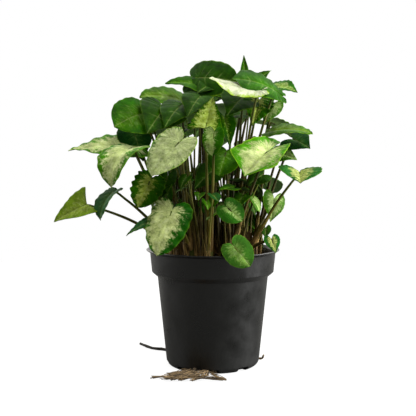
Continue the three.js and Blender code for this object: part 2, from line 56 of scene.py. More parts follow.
# %% [markdown]
# ## Small tools
#
# Colours are written as sRGB hex, as a paint chart gives them, and one function turns them into the
# linear values that the shaders work with. One more function adds a node with its settings and its
# inputs and gives back its output, so that a material reads from top to bottom like a recipe. A
# "MapRange" lists its value, the range it comes from and the range it goes to (0 to 1 if left out),
# and a "Mix" lists the share of its second colour and then the two colours.


# %% Colours and nodes
def linear(hex_colour):
    """An sRGB hex colour as linear red, green, blue and alpha."""
    parts = [int(hex_colour[i : i + 2], 16) / 255 for i in (1, 3, 5)]
    return (*[p / 12.92 if p <= 0.04045 else ((p + 0.055) / 1.055) ** 2.4 for p in parts], 1.0)


def fill(made, inputs):
    """Sets a node's inputs, listed in order or by name. Sockets are linked, hex colours turned linear."""
    visible = [socket for socket in made.inputs if socket.enabled]
    for name, value in inputs.items() if isinstance(inputs, dict) else enumerate(inputs):
        socket = made.inputs[name] if isinstance(name, str) else visible[name]
        if isinstance(value, bpy.types.NodeSocket):
            made.id_data.links.new(value, socket)
        else:
            socket.default_value = linear(value) if isinstance(value, str) else value


def add_node(tree, kind, inputs=(), output=None, **settings):
    """Adds a node and gives its first output, the one that is named, or each of a tuple of names."""
    made = tree.nodes.new("ShaderNode" + kind)
    for name, value in settings.items():
        setattr(made, name, value)
    fill(made, inputs)
    if isinstance(output, tuple):
        return [made.outputs[name] for name in output]
    if output:
        return made.outputs[output]
    return next((socket for socket in made.outputs if socket.enabled), None)


def new_material(name):
    """A material, the function that adds nodes to it, and its Principled shader."""
    material = bpy.data.materials.new(name)
    material.use_nodes = True
    tree = material.node_tree
    return material, partial(add_node, tree), tree.nodes["Principled BSDF"]


print("white is", linear("#ffffff"))

# %% [markdown]
# ## The camera and the studio
#
# The plant is seen from just above the rim through a short telephoto lens, so the pot's sides hardly
# converge. The camera stands 97 cm in front of the pot's axis, 25 cm up, and looks down by three
# degrees.

# %% Camera
PICTURE_SIDE = 416  # the picture is square, in pixels
FOCAL_PIXELS = 760
SENSOR = 36.0
CAMERA_PLACE = (-6.1 * MM, -968 * MM, 254.6 * MM)
LOOKING_DOWN = math.atan(43 / FOCAL_PIXELS)

bpy.ops.object.select_all(action="DESELECT")
bpy.ops.object.camera_add(location=CAMERA_PLACE, rotation=(math.pi / 2 - LOOKING_DOWN, 0, 0))
camera = bpy.context.object
camera.data.sensor_width = SENSOR
camera.data.lens = FOCAL_PIXELS / PICTURE_SIDE * SENSOR
bpy.context.scene.camera = camera
print("lens", round(camera.data.lens, 1), "mm")

# %% [markdown]
# The backdrop is white paper that burns out to plain white for the camera alone. What the plant and
# the pot see is a room that is dark towards the camera and bright at the sides and behind, with a
# dimmer ceiling. That is what draws light flanks and a dark middle on the pot's wall. A big soft
# key light stands above and to the right of the camera, and a soft box at each side adds to the
# reflections.

# %% Studio
WALL_LIGHT = 1.2  # brightness of the white walls beside and behind the plant
CEILING_LIGHT = 0.75
SIDE_SHARE = 0.8  # how much a look to the side counts against a look backwards
KEY_LIGHT = 1.7
KEY_ANGLE = 24  # degrees across, for soft shadows
FLOOR_GLOW = 0.9  # the paper burns out to white for the camera alone

scene = bpy.context.scene
scene.view_settings.view_transform = "Standard"
world = bpy.data.worlds.new("white_studio")
scene.world = world
world.use_nodes = True
world.node_tree.nodes.clear()
node = partial(add_node, world.node_tree)
seen = node("LightPath", output="Is Camera Ray")
heading = node("TexCoord", output="Generated")
x, y, z = node("SeparateXYZ", [heading], ("X", "Y", "Z"))
ceiling = node("MapRange", [z, 0.1, 0.95, 0, CEILING_LIGHT])
sideways = node("Math", [x], operation="ABSOLUTE")
backwards = node("Math", [sideways, SIDE_SHARE, y], operation="MULTIPLY_ADD")
walls = node("MapRange", [backwards, -0.02, 0.55, 0.02, WALL_LIGHT], interpolation_type="SMOOTHSTEP")
strength = node("Math", [ceiling, walls], operation="ADD")
room = node("Background", ["#fffdf8", strength])
paper = node("Background", ["#ffffff", 1.0])
node("OutputWorld", [node("MixShader", [seen, room, paper])])


def aim(light, target):
    """Turns a lamp so that it shines at a point."""
    light.rotation_euler = (Vector(target) - light.location).to_track_quat("-Z", "Y").to_euler()


def soft_box(name, place, target, width, height, watts):
    """A rectangular area light."""
    bpy.ops.object.select_all(action="DESELECT")
    bpy.ops.object.light_add(type="AREA", location=place)
    light = bpy.context.object
    light.name = name
    light.data.shape = "RECTANGLE"
    light.data.size = width
    light.data.size_y = height
    light.data.energy = watts
    aim(light, target)


bpy.ops.object.light_add(type="SUN", location=(0.55, -0.8, 1.8))
key = bpy.context.object
key.name = "key_light"
key.data.energy = KEY_LIGHT
key.data.angle = math.radians(KEY_ANGLE)
aim(key, (0, 0, 0.2))
soft_box("right_soft_box", (1.35, -0.24, 0.3), (0, 0, 0.1), 0.8, 1.1, 38)
soft_box("left_soft_box", (-1.1, 0.6, 0.3), (0, 0, 0.1), 0.35, 1.1, 4)

bpy.ops.mesh.primitive_plane_add(size=1.6, location=(0, 0.2, 0))
floor = bpy.context.object
floor.name = "paper_floor"
paper_sheet, node, shader = new_material("white studio paper")
seen = node("LightPath", output="Is Camera Ray")
glow = node("Math", [seen, FLOOR_GLOW], operation="MULTIPLY")
fill(shader, {"Base Color": "#646462", "Roughness": 0.9, "Specular IOR Level": 0.1})
fill(shader, {"Emission Color": "#ffffff", "Emission Strength": glow})
floor.data.materials.append(paper_sheet)

# %% [markdown]
# ## The pot
#
# A nursery pot is blown or thermoformed from a thin sheet of black polypropylene. It has a tapered
# body, a step out to a straight collar that lets pots stack, and a thin flared lip. It is modelled
# like turned work: a ring of vertices at the foot is extruded up the outside, over the lip and down
# the inside, and closed at the middle. The foot's corner is an arc, and a small bevel softens every
# other corner as the mould does.

# %% Pot sizes, in millimetres
LIP_RADIUS = 85
POT_HEIGHT = 148
COLLAR_TOP_RADIUS = 80
COLLAR_BOTTOM_RADIUS = 77.7
COLLAR_BOTTOM_Z = 119.5
BODY_TOP_RADIUS = 70.5
BODY_TOP_Z = 113.5
BODY_BOTTOM_RADIUS = 59.6
FOOT_RADIUS = 52
FOOT_CORNER_Z = 8
WALL = 1.2
LIP_THICKNESS = 1.4
LIP_FLARE_HEIGHT = 4
FLOOR_THICKNESS = 2.4
POT_SIDES = 144
FOOT_STEPS = 6
MOULD_EDGE = 0.7  # how far the mould rounds a corner
SLOT_HEIGHT = 6
SLOT_WIDTH = 16
SLOT_EDGE = 1.5
ROOT_SLOT_WIDTH = 54
ROOT_SLOT_ANGLE = 250
SLOT_STEP = 60
SLOT_INNER_RADIUS = 47
SLOT_OUTER_RADIUS = 75


def foot_corner(inset):
    """The foot's rounded corner as (radius, height) pairs, the given distance inside the outer one."""
    steps = np.linspace(0, math.pi / 2, FOOT_STEPS)
    across = BODY_BOTTOM_RADIUS - FOOT_RADIUS - inset
    up = FOOT_CORNER_Z - inset
    return [(FOOT_RADIUS + across * math.sin(a), inset + up * (1 - math.cos(a))) for a in steps]


pot_profile = [
    *foot_corner(0),
    (BODY_TOP_RADIUS, BODY_TOP_Z),
    (COLLAR_BOTTOM_RADIUS, COLLAR_BOTTOM_Z),
    (COLLAR_TOP_RADIUS, POT_HEIGHT - LIP_FLARE_HEIGHT),
    (LIP_RADIUS - LIP_THICKNESS / 2, POT_HEIGHT - LIP_THICKNESS),
    (LIP_RADIUS, POT_HEIGHT - LIP_THICKNESS / 2),
    (LIP_RADIUS - LIP_THICKNESS / 2, POT_HEIGHT),
    (LIP_RADIUS - 2 * LIP_THICKNESS, POT_HEIGHT),
    (COLLAR_TOP_RADIUS - WALL, POT_HEIGHT - LIP_FLARE_HEIGHT + WALL / 2),
    (COLLAR_BOTTOM_RADIUS - WALL, COLLAR_BOTTOM_Z + WALL / 2),
    (BODY_TOP_RADIUS - WALL, BODY_TOP_Z + WALL / 2),
    *foot_corner(FLOOR_THICKNESS)[::-1],
]
print("pot profile:", len(pot_profile), "points")


# %% Turn the pot
def select_only(*pieces):
    """Selects these objects alone and makes the first of them active."""
    bpy.ops.object.select_all(action="DESELECT")
    for piece in pieces:
        piece.select_set(True)
    bpy.context.view_layer.objects.active = pieces[0]


def new_mesh(name, add, **size):
    """A mesh at the origin, made by one of Blender's own primitives."""
    bpy.ops.object.select_all(action="DESELECT")
    add(location=(0, 0, 0), **size)
    bpy.context.object.name = name
    return bpy.context.object


def start_edit(piece):
    """Selects one object alone and enters edit mode with all of its mesh selected."""
    select_only(piece)
    bpy.ops.object.mode_set(mode="EDIT")
    bpy.ops.mesh.select_all(action="SELECT")


def select_where(elements, kind, test):
    """Leaves edit mode, selects the vertices or edges that pass the test, and goes back."""
    bpy.ops.mesh.select_mode(type=kind)
    bpy.ops.mesh.select_all(action="DESELECT")
    bpy.ops.object.mode_set(mode="OBJECT")
    for element in elements:
        element.select = test(element)
    bpy.ops.object.mode_set(mode="EDIT")


def apply_modifier(piece, kind, **settings):
    """Adds a modifier to one object and applies it."""
    select_only(piece)
    modifier = piece.modifiers.new(kind.lower(), kind)
    for name, value in settings.items():
        setattr(modifier, name, value)
    bpy.ops.object.modifier_apply(modifier=modifier.name)


def smooth(piece, degrees):
    """Shades an object smoothly across edges that are flatter than an angle."""
    select_only(piece)
    bpy.ops.object.shade_smooth_by_angle(angle=math.radians(degrees))


def turn_profile(name, profile, sides):
    """A ring at the profile's first point, extruded from point to point and closed at both ends."""
    radius, height = profile[0]
    piece = new_mesh(name, bpy.ops.mesh.primitive_circle_add, vertices=sides, radius=radius * MM)
    start_edit(piece)
    bpy.ops.transform.translate(value=(0, 0, height * MM))
    for next_radius, next_height in profile[1:]:
        rise = (next_height - height) * MM
        bpy.ops.mesh.extrude_edges_move(TRANSFORM_OT_translate={"value": (0, 0, rise)})
        grow = next_radius / radius
        bpy.ops.transform.resize(value=(grow, grow, 1), center_override=(0, 0, 0))
        radius, height = next_radius, next_height
    bpy.ops.mesh.edge_face_add()
    bpy.ops.mesh.poke()
    first_radius, first_height = profile[0][0] * MM, profile[0][1] * MM

    def in_first_ring(vertex):
        off = abs(vertex.co.z - first_height), abs(vertex.co.xy.length - first_radius)
        return max(off) < 1e-6

    select_where(piece.data.vertices, "VERT", in_first_ring)
    bpy.ops.mesh.edge_face_add()
    bpy.ops.mesh.poke()
    bpy.ops.mesh.select_all(action="SELECT")
    bpy.ops.mesh.normals_make_consistent(inside=False)
    bpy.ops.object.mode_set(mode="OBJECT")
    return piece


pot = turn_profile("nursery_pot", pot_profile, POT_SIDES)
rounding = {"width": MOULD_EDGE * MM, "segments": 2, "angle_limit": math.radians(9)}
apply_modifier(pot, "BEVEL", limit_method="ANGLE", **rounding)
print("pot faces before the slots:", len(pot.data.polygons))

# %% [markdown]
# Six drain slots are cut through the foot where the wall meets the floor. The roots have filled and
# widened the one at the front left. A cutter box for each is swept round the axis, and a Boolean
# takes them out.

# %% Cut the drain slots
reach = SLOT_OUTER_RADIUS - SLOT_INNER_RADIUS
for turn in range(0, 360, SLOT_STEP):
    width = ROOT_SLOT_WIDTH if turn == 0 else SLOT_WIDTH
    cutter = new_mesh("cutter", bpy.ops.mesh.primitive_cube_add, size=1)
    start_edit(cutter)
    bpy.ops.transform.resize(value=(reach * MM, width * MM, 2 * SLOT_HEIGHT * MM))
    bpy.ops.transform.translate(value=((SLOT_INNER_RADIUS + reach / 2) * MM, 0, 0))
    bpy.ops.mesh.bevel(offset=SLOT_EDGE * MM, segments=2)
    bpy.ops.object.mode_set(mode="OBJECT")
    cutter.rotation_euler.z = math.radians(ROOT_SLOT_ANGLE + turn)
    apply_modifier(pot, "BOOLEAN", operation="DIFFERENCE", object=cutter, solver="EXACT")
    bpy.data.objects.remove(cutter)
print("pot faces:", len(pot.data.polygons))

# %% [markdown]
# Moulded polypropylene is nearly black through and through, with a satin skin: the colour is almost
# nothing, and what the eye reads is the soft reflection. Handling leaves it dusty in patches, most
# of all low down at the foot. Dust makes the skin a little lighter and rougher, so the reflection
# breaks up there. The sheet keeps a faint grain that runs up the wall.

# %% Pot plastic
PLASTIC_GRAIN = 1.4 * MM  # finer on the real pot, drawn this coarse so that it still shows
DUST_PATCH = 26 * MM
DUSTY_BELOW = 45 * MM

pot_plastic, node, shader = new_material("black polypropylene, moulded")
place = node("TexCoord", output="Object")
stretched = node("Mapping", {"Vector": place, "Scale": (1, 1, 0.12)})
grain = node("TexNoise", {"Vector": stretched, "Scale": 1 / PLASTIC_GRAIN, "Detail": 3})
dust = node("TexNoise", {"Vector": place, "Scale": 1 / DUST_PATCH, "Detail": 6, "Roughness": 0.62})
height = node("SeparateXYZ", [place], "Z")
low = node("MapRange", [height, DUSTY_BELOW, 0, 0, 0.22])
dusty = node("Math", [dust, low], operation="ADD")
dust_share = node("MapRange", [dusty, 0.5, 0.85, 0, 0.55])
colour = node("Mix", [dust_share, "#040504", "#131412"], data_type="RGBA")
roughness = node("MapRange", [dusty, 0.3, 0.75, 0.22, 0.5])
bump = node("Bump", {"Height": grain, "Strength": 0.2, "Distance": 0.12 * MM})
fill(shader, {"Base Color": colour, "Roughness": roughness, "Normal": bump})
fill(shader, {"IOR": 1.49, "Specular IOR Level": 0.65})
pot.data.materials.append(pot_plastic)
smooth(pot, 25)
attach(pot, "root")
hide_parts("pot")
print("pot material:", pot_plastic.name)

# %% [markdown]
# ## The leaves
#
# An arrowhead blade is a long heart with two lobes behind the stalk. It is folded a little along
# the midrib, its back is bowed, its margins turn down and wave. The blades share four outlines, and
# each has its own place, tip, facing, width and bend. So one flat blank is made first, a grid whose
# columns run from the midrib out to the margin the way the side veins do, and each leaf is a copy
# of it that is bent into place.

# %% Where the plantlets stand and how each leaf lies, in millimetres
PLANTLETS = {
    "A": (-41, -31), "B": (-25, -47), "C": (-4, -56), "D": (21, -53),
    "E": (44, -35), "F": (-50, -5), "G": (-29, -16), "H": (-8, -24),
    "I": (24, -16), "J": (52, 0), "K": (-42, 26), "L": (-14, 14),
    "M": (14, 22), "N": (44, 32), "O": (-22, 56), "P": (18, 58),
}

# Look, plantlet, where the stalk meets the blade, tip, facing, half width as a share of the length,
# fold in degrees, bow, the length of the lobes against the usual one, and the outline.
LEAVES = [
    ("pale", "B", (-40, -68, 281), (-73, -74, 242), (-7, -9, 4), 0.6, 18, 0.04, 1, "oval"),
    ("marbled", "F", (-98, -36, 275), (-121, -62, 227), (-7, -10, 6), 0.5, 22, 0.26, 0.5, "oval"),
    ("marbled", "F", (-103, -4, 279), (-180, -22, 272), (-1, -5, 9), 0.42, 10, 0.04, 0.7, "arrow"),
    ("blue_green", "F", (-101, 7, 296), (-88, -5, 259), (1, -10, 6), 0.56, 14, 0.06, 0.9, "arrow"),
    ("slate", "F", (-121, -30, 222), (-137, -44, 187), (-8, -7, 3), 0.42, 24, 0.16, 0.5, "oval"),
    ("olive", "F", (-157, -24, 206), (-197, -30, 184), (-2, -8, 6), 0.56, 26, 0.03, 0.9, "pointed"),
    ("gold_fleck", "A", (-76, -42, 236), (-91, -52, 203), (0, -10, 3), 0.52, 8, 0.06, 0.9, "oval"),
    ("deep", "B", (-56, -26, 241), (-65, -30, 213), (2, -10, 3), 0.4, 20, 0.06, 1, "arrow"),
    ("green", "B", (-58, -26, 216), (-50, -40, 231), (2, -10, 6), 0.4, 10, 0.04, 1, "arrow"),
    ("half_cream", "B", (-49, -64, 200), (-66, -82, 148), (-2, -10, 3), 0.45, 6, 0.05, 0.8, "oval"),
    ("slate", "A", (-77, -44, 186), (-105, -56, 169), (0, -6, 8), 0.26, 24, 0.05, 1, "pointed"),
    ("soft_patch", "G", (-88, -12, 319), (-121, -34, 301), (-1, -10, 5), 0.74, 12, 0.06, 1, "oval"),
    ("deep", "G", (-61, -6, 325), (-80, -46, 292), (3, -8, 7), 0.58, 14, 0.08, 0.6, "arrow"),
    ("fresh", "K", (-38, 46, 339), (-95, 20, 342), (0, -6, 8), 0.44, 12, 0.08, 0.9, "oval"),
    ("deep", "G", (-39, -4, 330), (-59, -44, 299), (0, -7, 8), 0.46, 10, 0.08, 0.8, "arrow"),
    ("deep", "H", (-15, -6, 341), (-31, -44, 312), (0, -7, 8), 0.46, 14, 0.08, 0.4, "arrow"),
    ("green", "L", (-6, 36, 357), (-62, 22, 360), (0, -6, 8), 0.4, 14, 0.06, 1, "arrow"),
    ("deep", "L", (4, 32, 360), (-20, 2, 345), (0, -7, 8), 0.44, 12, 0.08, 1, "arrow"),
    ("rimmed", "L", (-18, 30, 368), (33, 10, 360), (-1, -9, 5), 0.54, 8, 0.06, 1.1, "oval"),
    ("green", "M", (42, 34, 368), (41, 40, 399), (0, -10, 1), 0.2, 16, 0.02, 0.8, "arrow"),
    ("glossy", "I", (76, -20, 347), (23, -34, 359), (0, -6, 8), 0.54, 8, 0.08, 0.4, "broad"),
    ("green", "M", (55, 46, 364), (78, 50, 380), (0, -6, 8), 0.4, 14, 0.04, 1, "arrow"),
    ("flecked", "N", (82, 21, 356), (107, -2, 346), (0, -7, 8), 0.5, 16, 0.06, 1, "arrow"),
    ("white", "I", (54, -40, 346), (-5, -62, 357), (0, -5, 9), 0.36, 4, -0.03, 0.25, "broad"),
    ("deep", "I", (38, -6, 340), (17, -40, 314), (0, -8, 6), 0.56, 12, 0.06, 0.5, "arrow"),
    ("gold_fleck", "I", (58, -8, 336), (48, -36, 302), (1, -10, 4), 0.44, 14, 0.05, 1, "arrow"),
    ("frosted", "N", (77, 10, 332), (64, -6, 306), (0, -10, 3), 0.42, 12, 0.04, 1, "arrow"),
    ("deep", "M", (35, 14, 319), (17, -2, 313), (0, -6, 8), 0.44, 14, 0.04, 1, "arrow"),
    ("lime_star", "C", (-9, -48, 299), (0, -38, 337), (0, -10, 6), 0.56, 8, 0.04, 0.5, "pointed"),
    ("two_tone", "C", (1, -62, 292), (-1, -66, 265), (-3, -10, 1), 0.5, 18, 0.04, 1, "oval"),
    ("light_rib", "H", (15, -16, 312), (21, -30, 277), (3, -10, 2), 0.34, 20, 0.05, 1, "arrow"),
    ("green", "D", (16, -40, 270), (7, -58, 241), (0, -10, 6), 0.56, 8, 0.06, 0.7, "oval"),
    ("deep", "C", (-1, -30, 247), (-23, -44, 225), (0, -10, 5), 0.46, 12, 0.06, 1, "arrow"),
    ("deep", "I", (61, -24, 242), (42, -38, 229), (0, -10, 6), 0.46, 12, 0.06, 1, "arrow"),
    ("green", "D", (24, -52, 227), (7, -66, 225), (0, -5, 10), 0.44, 20, 0.02, 1, "arrow"),
    ("lit_centre", "D", (17, -74, 204), (34, -82, 189), (0, -10, 3), 0.62, 8, 0.03, 1.3, "oval"),
    ("half_light", "D", (25, -88, 159), (43, -92, 137), (0, -10, 2), 0.6, 8, 0.03, 1.2, "oval"),
    ("butter", "D", (65, -50, 270), (36, -88, 242), (0, -6, 8), 0.64, 32, 0.05, 1, "broad"),
    ("fresh", "J", (70, -4, 296), (124, -22, 293), (1, -4, 10), 0.4, 14, 0.08, 0.3, "oval"),
    ("blue_green", "J", (103, 14, 288), (123, -6, 275), (1, -9, 4), 0.66, 10, 0.06, 1, "arrow"),
    ("frosted", "J", (83, 2, 270), (106, -10, 261), (0, -8, 6), 0.52, 12, 0.05, 1, "arrow"),
    ("cream_heart", "E", (105, -44, 246), (103, -72, 233), (0, -7, 7), 0.95, 28, 0.04, 0.7, "oval"),
    ("frosted", "E", (77, -14, 212), (71, -28, 184), (3, -10, 3), 0.48, 12, 0.05, 1, "arrow"),
    ("deep", "E", (65, -34, 177), (64, -42, 165), (1, -10, 4), 0.5, 14, 0.03, 1, "arrow"),
    ("cream_heart", "E", (71, -52, 165), (75, -62, 149), (1, -10, 4), 0.52, 12, 0.04, 1, "arrow"),
    ("marbled", "O", (-44, 62, 306), (-76, 96, 278), (-3, 8, 8), 0.5, 12, 0.08, 1, "arrow"),
    ("green", "O", (-16, 74, 322), (-24, 120, 292), (0, 8, 8), 0.5, 12, 0.08, 1, "arrow"),
    ("gold_fleck", "O", (-34, 84, 244), (-56, 118, 216), (-2, 10, 6), 0.5, 12, 0.06, 1, "arrow"),
    ("half_cream", "O", (-16, 94, 176), (-26, 112, 136), (-1, 10, 3), 0.52, 10, 0.05, 1, "arrow"),
    ("deep", "K", (-78, 40, 302), (-118, 62, 278), (-5, 5, 9), 0.48, 14, 0.08, 1, "arrow"),
    ("flecked", "K", (-62, 56, 222), (-84, 86, 196), (-5, 8, 6), 0.5, 12, 0.06, 1, "arrow"),
    ("glossy", "L", (-8, 50, 348), (-14, 98, 328), (0, 6, 9), 0.5, 12, 0.08, 1, "arrow"),
    ("deep", "P", (26, 72, 334), (38, 118, 304), (1, 8, 8), 0.5, 12, 0.08, 1, "arrow"),
    ("pale", "P", (14, 90, 270), (10, 126, 236), (0, 10, 5), 0.52, 12, 0.06, 1, "arrow"),
    ("marbled", "P", (54, 72, 284), (84, 102, 256), (4, 8, 8), 0.5, 12, 0.08, 1, "arrow"),
    ("green", "P", (42, 84, 212), (56, 116, 182), (3, 10, 5), 0.5, 12, 0.06, 1, "arrow"),
    ("fresh", "N", (78, 52, 312), (112, 78, 290), (5, 5, 9), 0.48, 14, 0.08, 1, "arrow"),
    ("lit_centre", "N", (70, 60, 236), (84, 96, 214), (4, 8, 6), 0.5, 12, 0.06, 1, "oval"),
]
print("leaves:", len(LEAVES), "on", len(PLANTLETS), "plantlets")

# %% [markdown]
# The looks say how a blade is coloured: the green of its margin, the colour of its middle, how far
# that middle reaches from the midrib on either half as a share of the way to the margin, how soft
# its border is, how much lighter the very edge is, and how strongly the margin is ruffled.

# %% Looks: margin, middle, reach on the plus half, reach on the minus half, softness, rim, ruffle
LOOKS = {
    "deep": ("#183703", "#264909", 0.3, 0.3, 0.3, 0.1, 0.006),
    "green": ("#27500b", "#4a771c", 0.2, 0.1, 0.25, 0.2, 0.006),
    "fresh": ("#355c12", "#5f7d2c", 0.4, 0.3, 0.3, 0.3, 0.01),
    "glossy": ("#1e4807", "#2f5d0f", 0.3, 0.3, 0.3, 0.15, 0.012),
    "rimmed": ("#183b04", "#27490a", 0.3, 0.2, 0.3, 0.3, 0.006),
    "olive": ("#5e7528", "#7b8c3c", 0.5, 0.3, 0.25, 0.2, 0.006),
    "slate": ("#274e2a", "#46673a", 0.3, 0.2, 0.3, 0.3, 0.01),
    "blue_green": ("#19401a", "#325a22", 0.2, 0.2, 0.25, 0.15, 0.006),
    "frosted": ("#38611e", "#829958", 0.6, 0.4, 0.12, 0.3, 0.006),
    "pale": ("#385e26", "#a2ae78", 0.98, 0.86, 0.09, 0.5, 0.008),
    "white": ("#7f9838", "#a9ae92", 0.9, 1.2, 0.07, 0.2, 0.01),
    "marbled": ("#34680f", "#aab57a", 0.62, 0.6, 0.07, 0.3, 0.012),
    "half_cream": ("#1b4c12", "#a8b276", 0.42, 0.8, 0.09, 0.15, 0.02),
    "butter": ("#3f7a1a", "#a9b478", 0.56, 0.5, 0.2, 0.6, 0.008),
    "cream_heart": ("#245820", "#a4ae62", 0.4, 0.36, 0.1, 0.2, 0.012),
    "gold_fleck": ("#244f0c", "#93a04a", 0.26, 0.42, 0.07, 0.15, 0.04),
    "lime_star": ("#24560b", "#afc45c", 0.66, 0.66, 0.12, 0.15, 0.012),
    "two_tone": ("#295a12", "#8ca25e", 0.1, 0.7, 0.08, 0.15, 0.008),
    "light_rib": ("#204d09", "#6f9232", 0.2, 0.14, 0.1, 0.15, 0.008),
    "lit_centre": ("#2d5c1e", "#84a258", 0.34, 0.3, 0.1, 0.15, 0.008),
    "half_light": ("#3a6526", "#6d8f44", 0.2, 0.5, 0.14, 0.2, 0.006),
    "soft_patch": ("#24520e", "#446c1a", 0.5, 0.3, 0.3, 0.15, 0.006),
    "flecked": ("#245810", "#8aa454", 0.4, 0.3, 0.06, 0.15, 0.01),
}
print("looks:", len(LOOKS))

# %% [markdown]
# The outline of one half runs from the notch round the lobe to the tip. Six points between those
# two give its shape, and a smooth curve goes through them. Four outlines are enough for the whole
# plant: the usual arrowhead, a fuller oval one, one with pointed lobes for young leaves, and a
# broad one whose lobes run far back.

# %% The flat blank
OUTLINES = {
    "arrow": [(-0.2, 0.2), (-0.36, 0.54), (-0.2, 0.9), (0.1, 1), (0.42, 0.82), (0.74, 0.38)],
    "oval": [(-0.2, 0.08), (-0.32, 0.5), (-0.18, 0.88), (0.14, 1), (0.5, 0.93), (0.84, 0.52)],
    "pointed": [(-0.06, 0.3), (-0.12, 0.65), (-0.2, 1), (0.1, 0.86), (0.4, 0.66), (0.7, 0.38)],
    "broad": [(-0.45, 0.04), (-0.85, 0.2), (-0.58, 0.5), (-0.1, 0.76), (0.34, 0.92), (0.7, 0.96)],
}
VEIN_SLOPE = 0.22  # how far a side vein runs forward on its way to the margin
ROW_SPREAD = 1.25  # over 1, so that the rows crowd towards the midrib
PARTS = ("way", "side", "margin")  # the way round the outline, the half, the share of the way out


def smooth_through(points, share):
    """Points at the given shares of a Catmull-Rom curve through a list of points."""
    points = np.asarray(points, float)
    ends = np.vstack([2 * points[0] - points[1], points, 2 * points[-1] - points[-2]])
    place = np.clip(share, 0, 1) * (len(points) - 1)
    first = np.minimum(place.astype(int), len(points) - 2)
    f = (place - first)[:, None]
    a, b, c, d = (ends[first + i] for i in range(4))
    square, cube = 2 * a - 5 * b + 4 * c - d, 3 * b - a - 3 * c + d
    return 0.5 * (2 * b + (c - a) * f + square * f**2 + cube * f**3)


def flat_blade(outline, way, side, margin):
    """Along and across the flat blade for places given by the way round, the side and the margin."""
    edge = smooth_through([(0, 0), *OUTLINES[outline], (1, 0)], way)
    edge[:, 1] = np.maximum(edge[:, 1], 0)
    start = np.maximum(0, edge[:, 0] - VEIN_SLOPE * edge[:, 1])
    return start + (edge[:, 0] - start) * margin, side * margin * edge[:, 1]


def places_of(piece):
    """Where an object's vertices are, as an array."""
    return np.array([v.co[:] for v in piece.data.vertices])


def move_to(mesh, places):
    """Moves a mesh's vertices to the given places."""
    mesh.vertices.foreach_set("co", np.asarray(places, np.float32).ravel())
    mesh.update()


def set_values(mesh, name, values, kind="FLOAT"):
    """Writes an attribute on a mesh's vertices: a value for each, or one for them all."""
    attribute = mesh.attributes.get(name) or mesh.attributes.new(name, kind, "POINT")
    size = (len(mesh.vertices), 3) if kind == "FLOAT_VECTOR" else len(mesh.vertices)
    field = "vector" if kind == "FLOAT_VECTOR" else "value"
    attribute.data.foreach_set(field, np.broadcast_to(values, size).astype(np.float32).ravel())


def attribute_of(mesh, name):
    """A float attribute of a mesh as an array."""
    values = np.zeros(len(mesh.attributes[name].data), np.float32)
    mesh.attributes[name].data.foreach_get("value", values)
    return values.astype(float)


def make_blank(name, columns, rows):
    """A flat blade of so many columns along each margin and rows on each side of the midrib."""
    grid = {"x_subdivisions": columns, "y_subdivisions": 2 * rows, "size": 2}
    sheet = new_mesh(name, bpy.ops.mesh.primitive_grid_add, **grid)
    mesh = sheet.data
    spots = places_of(sheet)
    way = (spots[:, 0] + 1) / 2
    side = np.sign(np.round(spots[:, 1], 6))
    margin = np.abs(spots[:, 1]) ** ROW_SPREAD
    corners = np.array([loop.vertex_index for loop in mesh.loops])
    edge_map = mesh.uv_layers[0]
    edge_map.name = "edge"
    on_map = np.stack([way[corners], (side * margin)[corners]], 1)
    edge_map.data.foreach_set("uv", on_map.astype(np.float32).ravel())
    for part, values in zip(PARTS, (way, side, margin)):
        set_values(mesh, part, values)
    along, across = flat_blade("arrow", way, side, margin)
    move_to(mesh, np.stack([along, across, 0 * along], 1))
    start_edit(sheet)
    bpy.ops.mesh.remove_doubles(threshold=1e-5)
    bpy.ops.object.mode_set(mode="OBJECT")
    return {"sheet": sheet, **{part: attribute_of(mesh, part) for part in PARTS}}


leaf_blank = make_blank("leaf_blank", 63, 9)
small_blank = make_blank("small_leaf_blank", 25, 4)
print("blank faces:", [len(blank["sheet"].data.polygons) for blank in (leaf_blank, small_blank)])

# %% [markdown]
# Bending a blade is one formula. The halves fold up from the midrib, the back bows, the margins
# turn down and wave. On top of that goes the relief of the veins: a groove along the midrib,
# shallower ones along the side veins, and the blade standing a little proud between them.

# %% Bend one blade
CUP = 0.22
WAVE = 0.02
WAVES = 2.5
PHASE_STEP = 2.4
SIDE_VEINS = 9
RUFFLES = 11  # small waves along one margin
SCALLOP = 1.6  # how far a ruffle pulls the outline in and out, against its height
RIB_GROOVE = 0.55 * MM
RIB_WIDTH = 1.3 * MM
RIB_FADING = 0.7  # how much of the midrib's groove is gone at the tip
VEIN_GROOVE = 0.14 * MM
VEIN_WIDTH = 0.22  # as a share of the space between side veins
QUILTING = 0.004  # height of the bulges between side veins, as a share of the length


def unit(vector):
    return vector / np.linalg.norm(vector)


def leaf_axes(at, tip, face):
    """Along the midrib, across it, out of the upper face, and the blade's length."""
    along = np.array(tip, float) - np.array(at, float)
    length = np.linalg.norm(along)
    along /= length
    face = np.array(face, float)
    out = unit(face - along * (face @ along))
    return along, np.cross(out, along), out, length


